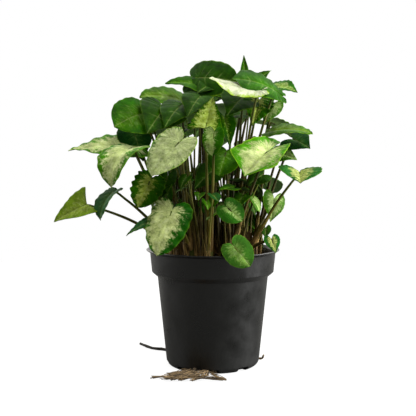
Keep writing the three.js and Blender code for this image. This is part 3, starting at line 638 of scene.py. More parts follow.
def bend(leaf, t, v, margin, way):
    """Where points of the flat blank lie on the bent blade, in metres."""
    along, across, out, length = leaf["axes"]
    length = length * MM
    ripple = leaf["ruffle"] * np.sin(2 * math.pi * RUFFLES * way + leaf["phase"])
    v = v * (1 + SCALLOP * ripple * margin**3)
    share = np.where(t < 0, t * leaf["lobe"], t)
    half = np.abs(v) * leaf["width"] * length
    fold = math.radians(leaf["fold"])
    waves = np.sin(2 * math.pi * WAVES * way + leaf["phase"] + np.sign(v))
    height = half * math.sin(fold) + 4 * leaf["bow"] * length * share * (1 - share)
    height += WAVE * length * margin**2 * waves - CUP * np.abs(v) * half
    height += ripple * length * margin**4
    between = np.abs((way * SIDE_VEINS) % 1 - 0.5) * 2
    body = margin * (1 - margin) * 4 * leaf["relief"]
    height -= RIB_GROOVE * np.exp(-((half / RIB_WIDTH) ** 2)) * (1 - RIB_FADING * np.clip(t, 0, 1))
    height -= VEIN_GROOVE * np.exp(-((1 - between) / VEIN_WIDTH) ** 2) * body
    height += QUILTING * length * (1 - between**2) * body
    place = np.array(leaf["at"], float) * MM
    sideways = np.sign(v) * half * math.cos(fold)
    lying = place + along * (share * length)[:, None] + across * sideways[:, None]
    return lying + out * height[:, None]


leaves = []
for i, (look, plantlet, at, tip, face, width, fold, bow, lobe, outline) in enumerate(LEAVES):
    leaf = {"look": look, "plantlet": plantlet, "at": at, "axes": leaf_axes(at, tip, face)}
    leaf.update(width=width, fold=fold, bow=bow, lobe=lobe, outline=outline, seed=i, stout=1)
    leaf.update(phase=i * PHASE_STEP, ruffle=LOOKS[look][-1], relief=1, blank=leaf_blank)
    leaves.append(leaf)
print("longest blade:", round(max(leaf["axes"][3] for leaf in leaves)), "mm")

# %% [markdown]
# Each copy of the blank also carries what its colour needs: the look's numbers at every vertex, and
# its own flat place in metres, so that a pattern keeps its real scale and follows the blade.

# %% Make a blade
BLADE_THICKNESS = 0.5 * MM
HALF_BLEND = 0.12  # across the midrib, where one half's reach runs over into the other's
PATTERN_STEP = 0.37  # keeps the patterns of neighbouring pieces apart


def copy_of(blank, name, places):
    """A copy of a blank with its own mesh, its vertices moved to the given places."""
    piece = bpy.data.objects.new(name, blank.data.copy())
    bpy.context.scene.collection.objects.link(piece)
    move_to(piece.data, places)
    return piece


def blade_places(leaf, every=1):
    """Along, across and in space, for the vertices of a leaf's blank, or for every few of them."""
    way, side, margin = (leaf["blank"][part][::every] for part in PARTS)
    t, v = flat_blade(leaf["outline"], way, side, margin)
    return t, v, bend(leaf, t, v, margin, way)


def make_blade(leaf):
    """A leaf's blade with the values that its skin's colour needs."""
    t, v, places = blade_places(leaf)
    blade = copy_of(leaf["blank"]["sheet"], "blade", places)
    margin_green, middle, reach_plus, reach_minus, softness, rim, _ = LOOKS[leaf["look"]]
    lean = 0.5 + 0.5 * np.clip(v / HALF_BLEND, -1, 1)
    length = leaf["axes"][3] * MM
    pattern = np.full(len(v), leaf["seed"] * PATTERN_STEP)
    lying = np.stack([t * length, v * leaf["width"] * length, pattern], 1)
    set_values(blade.data, "margin_green", linear(margin_green)[:3], "FLOAT_VECTOR")
    set_values(blade.data, "middle", linear(middle)[:3], "FLOAT_VECTOR")
    set_values(blade.data, "reach", reach_minus + (reach_plus - reach_minus) * lean)
    set_values(blade.data, "softness", softness)
    set_values(blade.data, "rim", rim)
    set_values(blade.data, "lying", lying, "FLOAT_VECTOR")
    return blade


print("blade thickness", BLADE_THICKNESS)

# %% [markdown]
# ## Leaf skin
#
# A Syngonium blade has a thin waxy cuticle over green tissue. Where it is variegated, the pale
# middle starts at the midrib and feathers out along the side veins in brush strokes, with a band of
# light green at its border. So how deep a point lies inside the pale part is the reach of that part
# less the distance from the midrib, roughened by a noise that is stretched along the veins, by
# blotches and by flecks. Inside it some strokes are whiter and some patches stay the margin's
# green. Wide patches of tone and the cells keep the green from looking painted. The underside is
# the same pattern seen through duller, greyer tissue.

# %% Leaf materials
STROKES = 34  # brush strokes along one margin
STROKE_ROWS = 3  # how often they change on the way out
BLOTCH = 12 * MM
FLECK = 2.0 * MM
NET = 3.4 * MM  # meshes of the fine vein net
CELL = 0.8 * MM  # leaf cells, far finer on a real blade, drawn this coarse so that they show
VEIN_COLOUR = "#b4c27a"
RIM_GREEN = "#93b845"
UNDERSIDE_GREEN = "#86a06c"


def leaf_skin(name, underside):
    """The skin of a blade's upper face or of its underside."""
    material, node, shader = new_material(name)
    reach, softness, rim = (
        node("Attribute", output="Fac", attribute_name=part) for part in ("reach", "softness", "rim")
    )
    green, middle, lying = (
        node("Attribute", output="Vector", attribute_name=part)
        for part in ("margin_green", "middle", "lying")
    )
    way, out = node("SeparateXYZ", [node("UVMap", uv_map="edge")], ("X", "Y"))
    margin = node("Math", [out], operation="ABSOLUTE")
    across, pattern = node("SeparateXYZ", [lying], ("Y", "Z"))

    # Noises: strokes along the veins, blotches, flecks, cells and the fine net.
    stroke_way = node("Math", [way, STROKES], operation="MULTIPLY")
    stroke_out = node("Math", [out, STROKE_ROWS], operation="MULTIPLY")
    stroke_place = node("CombineXYZ", [stroke_way, stroke_out, pattern])
    strokes = node("TexNoise", {"Vector": stroke_place, "Scale": 1, "Detail": 4, "Roughness": 0.65})
    blotches, flecks = (
        node("TexNoise", {"Vector": lying, "Scale": 1 / size, "Detail": 3, "Roughness": 0.6})
        for size in (BLOTCH, FLECK)
    )
    cells = node("TexNoise", {"Vector": lying, "Scale": 1 / CELL, "Detail": 1})
    net = node("TexVoronoi", {"Vector": lying, "Scale": 1 / NET}, feature="DISTANCE_TO_EDGE")
    net = node("MapRange", [net, 0.07, 0])

    # Veins: lines of constant way, and the midrib.
    turn = node("Math", [way, SIDE_VEINS], operation="MULTIPLY")
    turn = node("Math", [turn], operation="FRACT")
    turn = node("Math", [turn, 0.5], operation="SUBTRACT")
    turn = node("Math", [turn], operation="ABSOLUTE")
    side_vein = node("MapRange", [turn, 0.43, 0.5])
    fading = node("MapRange", [margin, 0.92, 0.3])
    side_vein = node("Math", [side_vein, fading], operation="MULTIPLY")
    off_rib = node("Math", [across], operation="ABSOLUTE")
    rib = node("MapRange", [off_rib, 1.2 * MM, 0.4 * MM])
    veins = node("Math", [side_vein, rib], operation="MAXIMUM")

    # How deep a point lies inside the pale middle.
    rough = node("Math", [strokes, 1.5, -0.75], operation="MULTIPLY_ADD")
    rough = node("Math", [blotches, 0.9, rough], operation="MULTIPLY_ADD")
    rough = node("Math", [flecks, 0.55, rough], operation="MULTIPLY_ADD")
    rough = node("Math", [rough, 0.725], operation="SUBTRACT")
    here = node("Math", [margin, rough], operation="ADD")
    depth = node("Math", [reach, here], operation="SUBTRACT")
    shallow = node("Math", [softness, -1], operation="MULTIPLY")
    pale = node("MapRange", [depth, shallow, softness], interpolation_type="SMOOTHSTEP")
    shallow = node("Math", [shallow, 0.2], operation="SUBTRACT")
    border = node("MapRange", [depth, shallow, 0.02, 0, 0.5], interpolation_type="SMOOTHSTEP")

    # Colours, from the margin's green over the border to the pale middle.
    colour = node("Mix", [border, green, middle], data_type="RGBA")
    colour = node("Mix", [pale, colour, middle], data_type="RGBA")
    whiter = node("MapRange", [strokes, 0.52, 0.36, 0, 0.5])
    whiter = node("Math", [whiter, pale], operation="MULTIPLY")
    lighter = node("HueSaturation", {"Color": colour, "Value": 1.45, "Saturation": 0.75})
    colour = node("Mix", [whiter, colour, lighter], data_type="RGBA")
    mottled = node("Math", [strokes, flecks], operation="ADD")
    mottled = node("MapRange", [mottled, 0.98, 1.3, 0, 0.5])
    mottled = node("Math", [mottled, pale], operation="MULTIPLY")
    colour = node("Mix", [mottled, colour, green], data_type="RGBA")

    # Veins, which show most in the pale part, the light rim, and patches of tone.
    showing = node("Math", [pale, 0.18, 0.01], operation="MULTIPLY_ADD")
    vein_share = node("Math", [veins, showing], operation="MULTIPLY")
    vein_share = node("Math", [net, 0.02, vein_share], operation="MULTIPLY_ADD")
    colour = node("Mix", [vein_share, colour, VEIN_COLOUR], data_type="RGBA")
    at_rim = node("MapRange", [margin, 0.93, 0.99])
    at_rim = node("Math", [at_rim, rim], operation="MULTIPLY")
    colour = node("Mix", [at_rim, colour, RIM_GREEN], data_type="RGBA")
    tone = node("Math", [blotches, 2.3, -0.27], operation="MULTIPLY_ADD")
    tone = node("Math", [cells, 0.24, tone], operation="MULTIPLY_ADD")
    colour = node("HueSaturation", {"Color": colour, "Value": tone, "Saturation": 1.08})
    if underside:
        colour = node("Mix", [0.45, colour, UNDERSIDE_GREEN], data_type="RGBA")

    sheen = node("MapRange", [flecks, 0.3, 0.7, 0.4, 0.52])
    relief = node("Math", [veins, -0.4, cells], operation="MULTIPLY_ADD")
    relief = node("Math", [net, -0.4, relief], operation="MULTIPLY_ADD")
    bump = node("Bump", {"Height": relief, "Strength": 0.35, "Distance": 0.25 * MM})
    fill(shader, {"Base Color": colour, "Roughness": sheen, "Normal": bump, "IOR": 1.42})
    fill(shader, {"Specular IOR Level": 0.02 if underside else 0.04, "Subsurface Weight": 0.05})
    fill(shader, {"Subsurface Radius": (0.8, 1.0, 0.3), "Subsurface Scale": 1.2 * MM})
    return material


leaf_upper = leaf_skin("waxy leaf, upper face", underside=False)
leaf_under = leaf_skin("matte leaf, underside", underside=True)
print("leaf materials:", leaf_upper.name, "/", leaf_under.name)

# %% [markdown]
# ## The stalks
#
# A leaf stalk leaves its stem inside a sheath, climbs, arches over and runs on under the blade's
# midrib. It is a tapered tube along a smooth route. Stalks of different plantlets push each other
# aside where they would cross, as they do in a crowded pot.

# %% Stalk routes, in millimetres
STALK_START_Z = 151
STALK_START_OUT = 1.6
STALK_FOOT_RADIUS = 2.7
STALK_END_RADIUS = 1.3
STALK_STEPS = 6
STALK_RISE = 0.36
STALK_FAN = 0.8
STALK_REACH = 0.3
STALK_ARCH = 0.55
STALK_UNDER_BLADE = 7
STALK_LEAN = 4
STALK_TAPER = 0.7
STALK_GAP = 0.9
CLEARING_ROUNDS = 90
CLEARING_SHARE = 0.6  # how much of a wanted move is made in one round
SMOOTHING_ROUNDS = 70
SMOOTHING = 0.04
MOST_MOVED = 25  # stretches further apart than this at the start never come to touch


def arched(foot, top, lean):
    """A stalk's points: up from its foot first, then over to the blade."""
    span = top - foot
    size = np.linalg.norm(span)
    arriving = unit(span * (1, 1, STALK_ARCH))
    leaving = unit(np.array([0, 0, 1]) + STALK_FAN * span * (1, 1, 0) / size)
    b = foot + leaving * STALK_RISE * size + lean
    c = top - arriving * STALK_REACH * size
    s = np.linspace(0, 1, STALK_STEPS + 1)[:, None]
    return (1 - s) ** 3 * foot + 3 * (1 - s) ** 2 * s * b + 3 * (1 - s) * s**2 * c + s**3 * top


def stalk_route(leaf):
    """The stalk's points from its plantlet's stem to where it meets the blade."""
    x, y = PLANTLETS[leaf["plantlet"]]
    at = np.array(leaf["at"], float)
    outwards = unit(np.array([at[0] - x, at[1] - y, 0]))
    foot = np.array([x, y, STALK_START_Z]) + outwards * STALK_START_OUT
    return arched(foot, at - leaf["axes"][2] * STALK_END_RADIUS, outwards * STALK_LEAN)


def nearest(a, b, c, d):
    """The nearest points of many pairs of straight stretches, as shares of each, and the gap."""
    u, v, w = b - a, d - c, a - c
    uu, uv, vv, uw, vw = ((p * q).sum(1) for p, q in ((u, u), (u, v), (v, v), (u, w), (v, w)))
    spread = uu * vv - uv * uv
    s = np.where(spread > 1e-9, np.clip((uv * vw - vv * uw) / np.maximum(spread, 1e-9), 0, 1), 0.5)
    t = np.clip((uv * s + vw) / vv, 0, 1)
    s = np.clip((uv * t - uw) / uu, 0, 1)
    return s, t, a + u * s[:, None] - c - v * t[:, None]


def bend_clear(routes, owners, stout, fixed=0):
    """Pushes stretches of different owners' stalks apart, a little at a time; the first few stay."""
    count, last = len(routes), STALK_STEPS
    stalk = np.repeat(np.arange(count), last)
    step = np.tile(np.arange(last), count)
    one, other = np.triu_indices(count * last, 1)
    owner = np.array(owners)
    apart = (owner[stalk[one]] != owner[stalk[other]]) & (stalk[other] >= fixed)
    one, other = one[apart], other[apart]
    taper = (step / last) ** STALK_TAPER
    radius = STALK_FOOT_RADIUS + (STALK_END_RADIUS - STALK_FOOT_RADIUS) * taper
    radius *= np.array(stout)[stalk]
    wanted = radius[one] + radius[other] + STALK_GAP
    middle = (routes[stalk, step] + routes[stalk, step + 1]) / 2
    reach = np.linalg.norm(routes[stalk, step + 1] - routes[stalk, step], axis=1) / 2
    apart = np.linalg.norm(middle[one] - middle[other], axis=1)
    may_meet = apart < reach[one] + reach[other] + MOST_MOVED
    one, other, wanted = one[may_meet], other[may_meet], wanted[may_meet]
    for round_number in range(CLEARING_ROUNDS):
        a, b = routes[stalk, step], routes[stalk, step + 1]
        middle, reach = (a + b) / 2, np.linalg.norm(b - a, axis=1) / 2
        apart = np.linalg.norm(middle[one] - middle[other], axis=1)
        close = apart < reach[one] + reach[other] + wanted
        i, j = one[close], other[close]
        s, t, gap = nearest(a[i], b[i], a[j], b[j])
        distance = np.linalg.norm(gap, axis=1)
        crossing = np.cross(b[i] - a[i], b[j] - a[j])
        gap = np.where(distance[:, None] < 1e-3, crossing, gap)
        gap /= np.maximum(np.linalg.norm(gap, axis=1), 1e-9)[:, None]
        push = gap * (np.maximum(wanted[close] - distance, 0) / 2)[:, None]
        moves = np.zeros_like(routes)
        np.add.at(moves, (stalk[i], step[i]), push * (1 - s)[:, None])
        np.add.at(moves, (stalk[i], step[i] + 1), push * s[:, None])
        np.add.at(moves, (stalk[j], step[j]), -push * (1 - t)[:, None])
        np.add.at(moves, (stalk[j], step[j] + 1), -push * t[:, None])
        routes[fixed:, 1:last] += CLEARING_SHARE * moves[fixed:, 1:last]
        if round_number < SMOOTHING_ROUNDS:
            between = (routes[:, :-2] + routes[:, 2:]) / 2
            routes[fixed:, 1:-1] += SMOOTHING * (between - routes[:, 1:-1])[fixed:]
    return routes


def finish_route(leaf, route):
    """Adds the stretch of the stalk that lies along the underside of the blade's midrib."""
    under = np.array([STALK_UNDER_BLADE / leaf["axes"][3]])
    end = bend(leaf, under, 0 * under, 0 * under, 0 * under)[0] / MM
    leaf["route"] = np.vstack([route, end - leaf["axes"][2] * STALK_END_RADIUS / 2])


routes = np.array([stalk_route(leaf) for leaf in leaves])
routes = bend_clear(routes, [leaf["plantlet"] for leaf in leaves], np.ones(len(leaves)))
for leaf, route in zip(leaves, routes):
    finish_route(leaf, route)
print("first stalk's length:", round(float(np.linalg.norm(np.diff(routes[0], axis=0), axis=1).sum())))

# %% [markdown]
# ## The inner leaves
#
# Between the big leaves the real plant is packed with small shaded ones, each on a stalk of its own
# that comes up beside one of the stems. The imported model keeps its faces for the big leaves, so
# these are added here. They are drawn at random, as many as find room. A place is kept only where
# the small blade and its stalk stand clear of every other blade, cover none of the big leaves in
# front, and leave the open gaps between the stalks open.

# %% Draw the inner leaves
INNER_LEAVES = 190  # as many as would be wanted; the crowd has room for fewer
MOST_DRAWS = 24000
INNER_LOOKS = ("deep", "deep", "green", "blue_green", "soft_patch", "glossy", "deep", "frosted")
INNER_STOUT = 0.75  # how thick their stalks are, against the big leaves'
INNER_LENGTHS = (14, 38)
INNER_SHAPES = {"width": (0.4, 0.56), "fold": (8, 26), "bow": (0.03, 0.12), "lobe": (0.6, 1)}
INNER_REACH = (0.02, 0.34)  # how far a stalk runs outwards, against its rise
INNER_DROP = (0.2, 1.2)  # how steeply a blade hangs, in radians
INNER_TURN = 0.7  # how far its heading strays, in radians
INNER_TILT = 0.25  # how far its facing strays
BESIDE_STEM = (5, 15)  # how far from a stem they come up
GROUND_Z = 134
HIGHEST = 330
LOWEST_BEHIND = 168
LOWEST_IN_FRONT = 205  # the stalks' feet show below this height in front
CLEAR_OF_BLADES = 4.5
CLEAR_OF_STALK = 3
OPEN_GAPS = [  # left, top, right and bottom, in the camera's picture
    (233, 116, 262, 142),
    (184, 193, 194, 210),
    (181, 155, 189, 168),
    (222, 106, 236, 118),
    (196, 132, 204, 146),
]
CROWD_LEFT, CROWD_RIGHT = 158, 274  # how wide the crowd of stalks looks from the camera
SHOWN_IN_FRONT_OF = 25  # leaves nearer to the camera than this keep a clear view
HIDING_REACH = 2.5  # in the picture's pixels


def in_picture(points):
    """Where points in millimetres appear in the camera's picture, in its pixels."""
    from_camera = points - np.array(CAMERA_PLACE) / MM
    ahead = from_camera @ (0, math.cos(LOOKING_DOWN), -math.sin(LOOKING_DOWN))
    above = from_camera @ (0, math.sin(LOOKING_DOWN), math.cos(LOOKING_DOWN))
    off_middle = np.stack([from_camera[:, 0], -above], 1)
    return PICTURE_SIDE / 2 + FOCAL_PIXELS * off_middle / ahead[:, None]


def search_tree(points):
    """A tree that finds the nearest of many points quickly."""
    tree = KDTree(len(points))
    for i, point in enumerate(points):
        tree.insert(point, i)
    tree.balance()
    return tree


def any_within(tree, points, distance):
    return any(tree.find(point)[2] < distance for point in points)


def draw_inner(seed):
    """One small leaf at random: a stand in the soil, a place for the blade, and how it hangs."""
    spot = np.array(list(PLANTLETS.values())[rng.integers(len(PLANTLETS))])
    turn, away = rng.uniform(0, 2 * math.pi), rng.uniform(*BESIDE_STEM)
    foot = np.array([spot[0] + away * math.cos(turn), spot[1] + away * math.sin(turn), GROUND_Z])
    around = math.atan2(foot[1], foot[0])
    height = rng.uniform(LOWEST_IN_FRONT if math.sin(around) < 0.2 else LOWEST_BEHIND, HIGHEST)
    heading = around + rng.normal(0, INNER_TURN)
    outwards = np.array([math.cos(heading), math.sin(heading), 0])
    at = foot + outwards * rng.uniform(*INNER_REACH) * (height - GROUND_Z)
    at[2] = height
    drop = rng.uniform(*INNER_DROP)
    length = rng.uniform(*INNER_LENGTHS)
    tip = at + length * (outwards * math.cos(drop) - np.array([0, 0, math.sin(drop)]))
    face = outwards * math.sin(drop) + np.array([0, 0, math.cos(drop)])
    face = face + rng.normal(0, INNER_TILT, 3)
    leaf = {"at": at, "foot": foot, "axes": leaf_axes(at, tip, face), "seed": seed}
    leaf.update({part: rng.uniform(*span) for part, span in INNER_SHAPES.items()})
    leaf.update(outline=("arrow", "oval")[seed % 2], phase=seed * PHASE_STEP, ruffle=0, relief=0)
    leaf.update(look=INNER_LOOKS[seed % len(INNER_LOOKS)], blank=small_blank, stout=INNER_STOUT)
    leaf["start"] = arched(foot, at - leaf["axes"][2] * STALK_END_RADIUS, 0)
    return leaf


def hides_a_leaf(points):
    """Whether points cover one of the big leaves in the camera's picture."""
    for (across, down), y in zip(in_picture(points), points[:, 1]):
        for _, number, _ in shown_tree.find_range((across, down, 0), HIDING_REACH):
            if shown[number, 1] > y + 1:
                return True
    return False


def finds_room(blade, stalk_line):
    """Whether a small blade and its stalk fit in the crowd without closing a gap or hiding a leaf."""
    seen_at = in_picture(blade)
    if seen_at[:, 0].min() < CROWD_LEFT or seen_at[:, 0].max() > CROWD_RIGHT:
        return False
    for left, top, right, bottom in OPEN_GAPS:
        if ((seen_at > (left, top)) & (seen_at < (right, bottom))).all(1).any():
            return False
    if any_within(crowd_tree, blade, CLEAR_OF_BLADES):
        return False
    if any_within(crowd_tree, stalk_line, CLEAR_OF_STALK):
        return False
    return not hides_a_leaf(np.vstack([blade, stalk_line]))


in_front = [leaf for leaf in leaves if leaf["at"][1] < SHOWN_IN_FRONT_OF]
shown = np.vstack([blade_places(leaf, 2)[2] / MM for leaf in in_front])
shown_tree = search_tree(np.pad(in_picture(shown), ((0, 0), (0, 1))))
crowd = np.vstack([blade_places(leaf, 7)[2] / MM for leaf in leaves])
crowd_tree = search_tree(crowd)
inner = []
for attempt in range(MOST_DRAWS):
    if len(inner) == INNER_LEAVES:
        break
    leaf = draw_inner(len(leaves) + len(inner))
    blade = blade_places(leaf, 3)[2] / MM
    if finds_room(blade, smooth_through(leaf["start"], np.linspace(0.1, 0.85, 30))):
        inner.append(leaf)
        crowd = np.vstack([crowd, blade])
        crowd_tree = search_tree(crowd)
spots = np.array(list(PLANTLETS.values()))
for leaf in inner:
    nearest_stem = np.hypot(*(spots - leaf["foot"][:2]).T).argmin()
    leaf["plantlet"] = list(PLANTLETS)[nearest_stem]
all_routes = np.concatenate([routes, [leaf["start"] for leaf in inner]])
owners = [ord(leaf["plantlet"]) for leaf in leaves] + [200 + i for i in range(len(inner))]
stout = [leaf["stout"] for leaf in leaves + inner]
all_routes = bend_clear(all_routes, owners, stout, fixed=len(leaves))
for leaf, route in zip(inner, all_routes[len(leaves) :]):
    finish_route(leaf, route)
print("inner leaves:", len(inner), "after", attempt, "draws")

# %% [markdown]
# The tube itself is a second blank, a cylinder of unit height cut into rings, whose rings are then
# laid along a route. The frame that carries them is passed on from ring to ring, so it never twists.

# %% The tube blank
TUBE_SIDES = 10
TUBE_RINGS = 22

tube_size = {"vertices": TUBE_SIDES, "radius": 1, "depth": 1, "end_fill_type": "TRIFAN"}
tube_blank = new_mesh("tube_blank", bpy.ops.mesh.primitive_cylinder_add, **tube_size)


def is_upright(line):
    """Whether an edge of the tube blank runs from one end to the other."""
    low, high = (tube_blank.data.vertices[i].co.z for i in line.vertices)
    return abs(low - high) > 0.5


start_edit(tube_blank)
select_where(tube_blank.data.edges, "EDGE", is_upright)
bpy.ops.mesh.subdivide(number_cuts=TUBE_RINGS - 1)
bpy.ops.object.mode_set(mode="OBJECT")
tube_flat = places_of(tube_blank)
tube_share = tube_flat[:, 2] + 0.5
tube_angle = np.arctan2(tube_flat[:, 1], tube_flat[:, 0])
tube_radius = np.hypot(tube_flat[:, 0], tube_flat[:, 1])
print("tube blank:", len(tube_flat), "vertices")


# %% Lay a tube along a route
def frames_along(points):
    """A pair of cross directions at each point, passed on without twist."""
    ahead = np.gradient(points, axis=0)
    ahead /= np.linalg.norm(ahead, axis=1)[:, None]
    sides = [unit(np.cross(ahead[0], (0, 1, 0) if abs(ahead[0][1]) < 0.9 else (1, 0, 0)))]
    for direction in ahead[1:]:
        sides.append(unit(sides[-1] - direction * (sides[-1] @ direction)))
    sides = np.array(sides)
    return sides, np.cross(ahead, sides)


def tube_places(route, radius_at):
    """The tube blank's vertices laid along a route in millimetres, in metres, and its length."""
    line = smooth_through(route, np.linspace(0, 1, 400))
    steps = np.linalg.norm(np.diff(line, axis=0), axis=1)
    travelled = np.concatenate([[0], np.cumsum(steps)])
    even = np.linspace(0, 1, TUBE_RINGS + 1)
    share = travelled / travelled[-1]
    centres = np.array([np.interp(even, share, line[:, k]) for k in range(3)]).T
    side, other = frames_along(centres)
    ring = np.round(tube_share * TUBE_RINGS).astype(int)
    around = radius_at(tube_share, tube_angle) * tube_radius
    places = centres[ring] + side[ring] * (around * np.cos(tube_angle))[:, None]
    places = places + other[ring] * (around * np.sin(tube_angle))[:, None]
    return places * MM, travelled[-1] * MM


def make_tube(name, route, radius_at, shade, seed):
    """A tube along a route, with the values that its skin's colour needs."""
    places, length = tube_places(route, radius_at)
    tube = copy_of(tube_blank, name, places)
    set_values(tube.data, "shade", shade)
    set_values(tube.data, "along", tube_share)
    pattern = np.full(len(places), seed * PATTERN_STEP)
    skin = np.stack([tube_angle * 2 * MM, tube_share * length, pattern], 1)
    set_values(tube.data, "lying", skin, "FLOAT_VECTOR")
    return tube


STALK_RIBS = 0.05  # how far a stalk's three ribs stand out, as a share of its radius
SLEEVE_WALL = 0.7  # how far a sleeve stands out from its stalk, in millimetres
SLEEVE_SHARE = 0.36  # how much of the stalk's taper a sleeve sees
SLIT_TOP = 0.82  # the sleeve's mouth slants open from here down, as shares of its length
SLIT_LENGTH = 0.5


def stalk_radius(stout):
    """The radius of a stalk, a little ribbed, at a share of its way."""

    def radius_at(share, angle):
        plain = STALK_FOOT_RADIUS + (STALK_END_RADIUS - STALK_FOOT_RADIUS) * share**STALK_TAPER
        return stout * plain * (1 + STALK_RIBS * np.cos(3 * angle))

    return radius_at


def sleeve_radius(stout, opening):
    """The radius of the sheath round a stalk's foot, whose mouth slants open towards one side."""

    def radius_at(share, angle):
        slant = np.clip((SLIT_TOP - share) / SLIT_LENGTH, 0, 1)
        covered = 1 + np.cos(angle - opening) - 2 * slant
        wall = np.clip(0.9 - 6 * np.maximum(covered, 0), -1, 1) * SLEEVE_WALL
        return stalk_radius(stout)(share * SLEEVE_SHARE, angle) + wall - 0.9 * (share > 0.97)

    return radius_at


print("stalk radius at the foot and at the end:", *(stalk_radius(1)(share, 0) for share in (0.0, 1.0)))

# %% [markdown]
# The stalk's skin is smooth and a little shiny, green under the blade and darker below, and it
# dries to tan where the old sheath clings to it. Fine lines run along it. Stalks differ: young ones
# are lime, old ones are brown. Two kinds of sheath go with them: the fleshy sleeve round a stalk's
# foot, tan with a green mouth, and the dry papery one round a stem. Both show fibres lengthwise.

# %% Stalk skin and sheaths
STALK_LINE = 0.7 * MM
STALK_PATCH = 14 * MM
SHEATH_FIBRE = 0.9 * MM


def tube_values(node):
    """What a tube or a sheath carries: its shade, the share of its length, and its flat place."""
    shade, along = (node("Attribute", output="Fac", attribute_name=part) for part in ("shade", "along"))
    return shade, along, node("Attribute", output="Vector", attribute_name="lying")


stalk_skin, node, shader = new_material("leaf stalk, smooth skin")
shade, along, lying = tube_values(node)
drawn = node("Mapping", {"Vector": lying, "Scale": (1, 0.05, 1)})
lines = node("TexNoise", {"Vector": drawn, "Scale": 1 / STALK_LINE, "Detail": 3})
patches = node("TexNoise", {"Vector": lying, "Scale": 1 / STALK_PATCH, "Detail": 3})
old = node("Mix", [shade, "#201809", "#655c20"], data_type="RGBA")
young = node("Mix", [shade, "#26290e", "#546a24"], data_type="RGBA")
up_share = node("MapRange", [along, 0.35, 0.95])
colour = node("Mix", [up_share, old, young], data_type="RGBA")
mottled = node("Math", [lines, patches], operation="MULTIPLY")
pale_share = node("MapRange", [mottled, 0.24, 0.44, 0, 0.6])
colour = node("Mix", [pale_share, colour, "#7c6a34"], data_type="RGBA")
foot_share = node("MapRange", [along, 0.22, 0.02, 0, 0.7])
colour = node("Mix", [foot_share, colour, "#775a30"], data_type="RGBA")
bump = node("Bump", {"Height": lines, "Strength": 0.4, "Distance": 0.2 * MM})
fill(shader, {"Base Color": colour, "Normal": bump, "Roughness": 0.45, "Specular IOR Level": 0.08})


def sheath_skin(name, dark, tan_old, tan_new, tips):
    """Fibres between a dark and a tan colour, running to another colour at the sheath's tip."""
    material, node, shader = new_material(name)
    shade, along, lying = tube_values(node)
    drawn = node("Mapping", {"Vector": lying, "Scale": (1, 0.06, 1)})
    fibres = node("TexNoise", {"Vector": drawn, "Scale": 1 / SHEATH_FIBRE, "Detail": 4})
    fibre_share = node("MapRange", [fibres, 0.35, 0.62])
    tan = node("Mix", [shade, tan_old, tan_new], data_type="RGBA")
    upwards = node("MapRange", [along, 0.2, 1.0])
    tan = node("Mix", [upwards, tan, tips], data_type="RGBA")
    colour = node("Mix", [fibre_share, dark, tan], data_type="RGBA")
    bump = node("Bump", {"Height": fibres, "Strength": 0.5, "Distance": 0.3 * MM})
    fill(shader, {"Base Color": colour, "Normal": bump, "Roughness": 0.65, "Specular IOR Level": 0.1})
    return material


fresh_sheath = sheath_skin("fleshy sheath round a stalk", "#2b2412", "#664d26", "#b8975a", "#4f4f20")
dry_sheath = sheath_skin("dry papery sheath", "#33261a", "#5f472a", "#a88f5c", "#6f5836")
print("stalk materials:", stalk_skin.name, "/", fresh_sheath.name, "/", dry_sheath.name)

# %% [markdown]
# ## The stems and their sheaths
#
# Each stem stands in the soil and is wrapped in two papery sheaths, the dried bases of earlier
# leaves. A sheath is a strip rolled round the stem that narrows to a point and leans away a little.
# It is made from a third blank, a flat grid, and gets its thickness once it is in place.

# %% The sheath blank
STEM_BOTTOM_Z = 106
STEM_TOP_Z = 158
STEM_FOOT_RADIUS = 5.2
STEM_TOP_RADIUS = 4
STEM_SHADE = 0.3
SHEATHS = 2  # round each stem
SHEATH_WRAP = 190  # degrees
SHEATH_WIDTH = 8  # of half a strip
SHEATH_CLEARANCE = 0.7  # from the stem, at the bottom
SHEATH_TAPER = 2.2
SHEATH_PATTERN_STEP = 0.53
SHEATH_THICKNESS = 0.35 * MM
SHEATH_SPANS = ((0, 360), (18, 44), (0, 3), (0, 1))  # turn in degrees, height, lean, shade

strip = {"x_subdivisions": 12, "y_subdivisions": 14, "size": 2}
sheath_blank = new_mesh("sheath_blank", bpy.ops.mesh.primitive_grid_add, **strip)
sheath_flat = places_of(sheath_blank)
sheath_across = sheath_flat[:, 0]
sheath_up = (sheath_flat[:, 1] + 1) / 2


def make_sheath(x, y, turn, height, lean, shade, seed):
    """One sheath round the stem at (x, y), in millimetres, opening away from its turn."""
    narrow = np.sqrt(np.clip(1 - sheath_up**1.6, 0, 1)) * 0.98 + 0.02
    angle = math.radians(turn) + sheath_across * math.radians(SHEATH_WRAP / 2) * narrow
    radius = STEM_FOOT_RADIUS + SHEATH_CLEARANCE - SHEATH_TAPER * sheath_up
    away = lean * sheath_up**2
    east = x + radius * np.cos(angle) + away * math.cos(math.radians(turn))
    north = y + radius * np.sin(angle) + away * math.sin(math.radians(turn))
    places = np.stack([east, north, GROUND_Z + height * sheath_up], 1)
    sheath = copy_of(sheath_blank, "sheath", places * MM)
    pattern = np.full(len(places), seed * SHEATH_PATTERN_STEP)
    skin = np.stack([sheath_across * SHEATH_WIDTH * MM, sheath_up * height * MM, pattern], 1)
    set_values(sheath.data, "lying", skin, "FLOAT_VECTOR")
    set_values(sheath.data, "shade", shade)
    set_values(sheath.data, "along", sheath_up)
    return sheath


print("sheath blank:", len(sheath_flat), "vertices")

# %% [markdown]
# ## Putting the plantlets together
#
# For each plantlet there are two pieces: its blades, which get their thickness here, with the
# underside as a second material, and its stem with stalks, sleeves and sheaths.

# %% Join and finish
PLANTLET_SMOOTHING = 60  # degrees
SLEEVE_ENDS = (0.22, 0.44)  # how far up its stalk a sleeve ends, as a share of the way


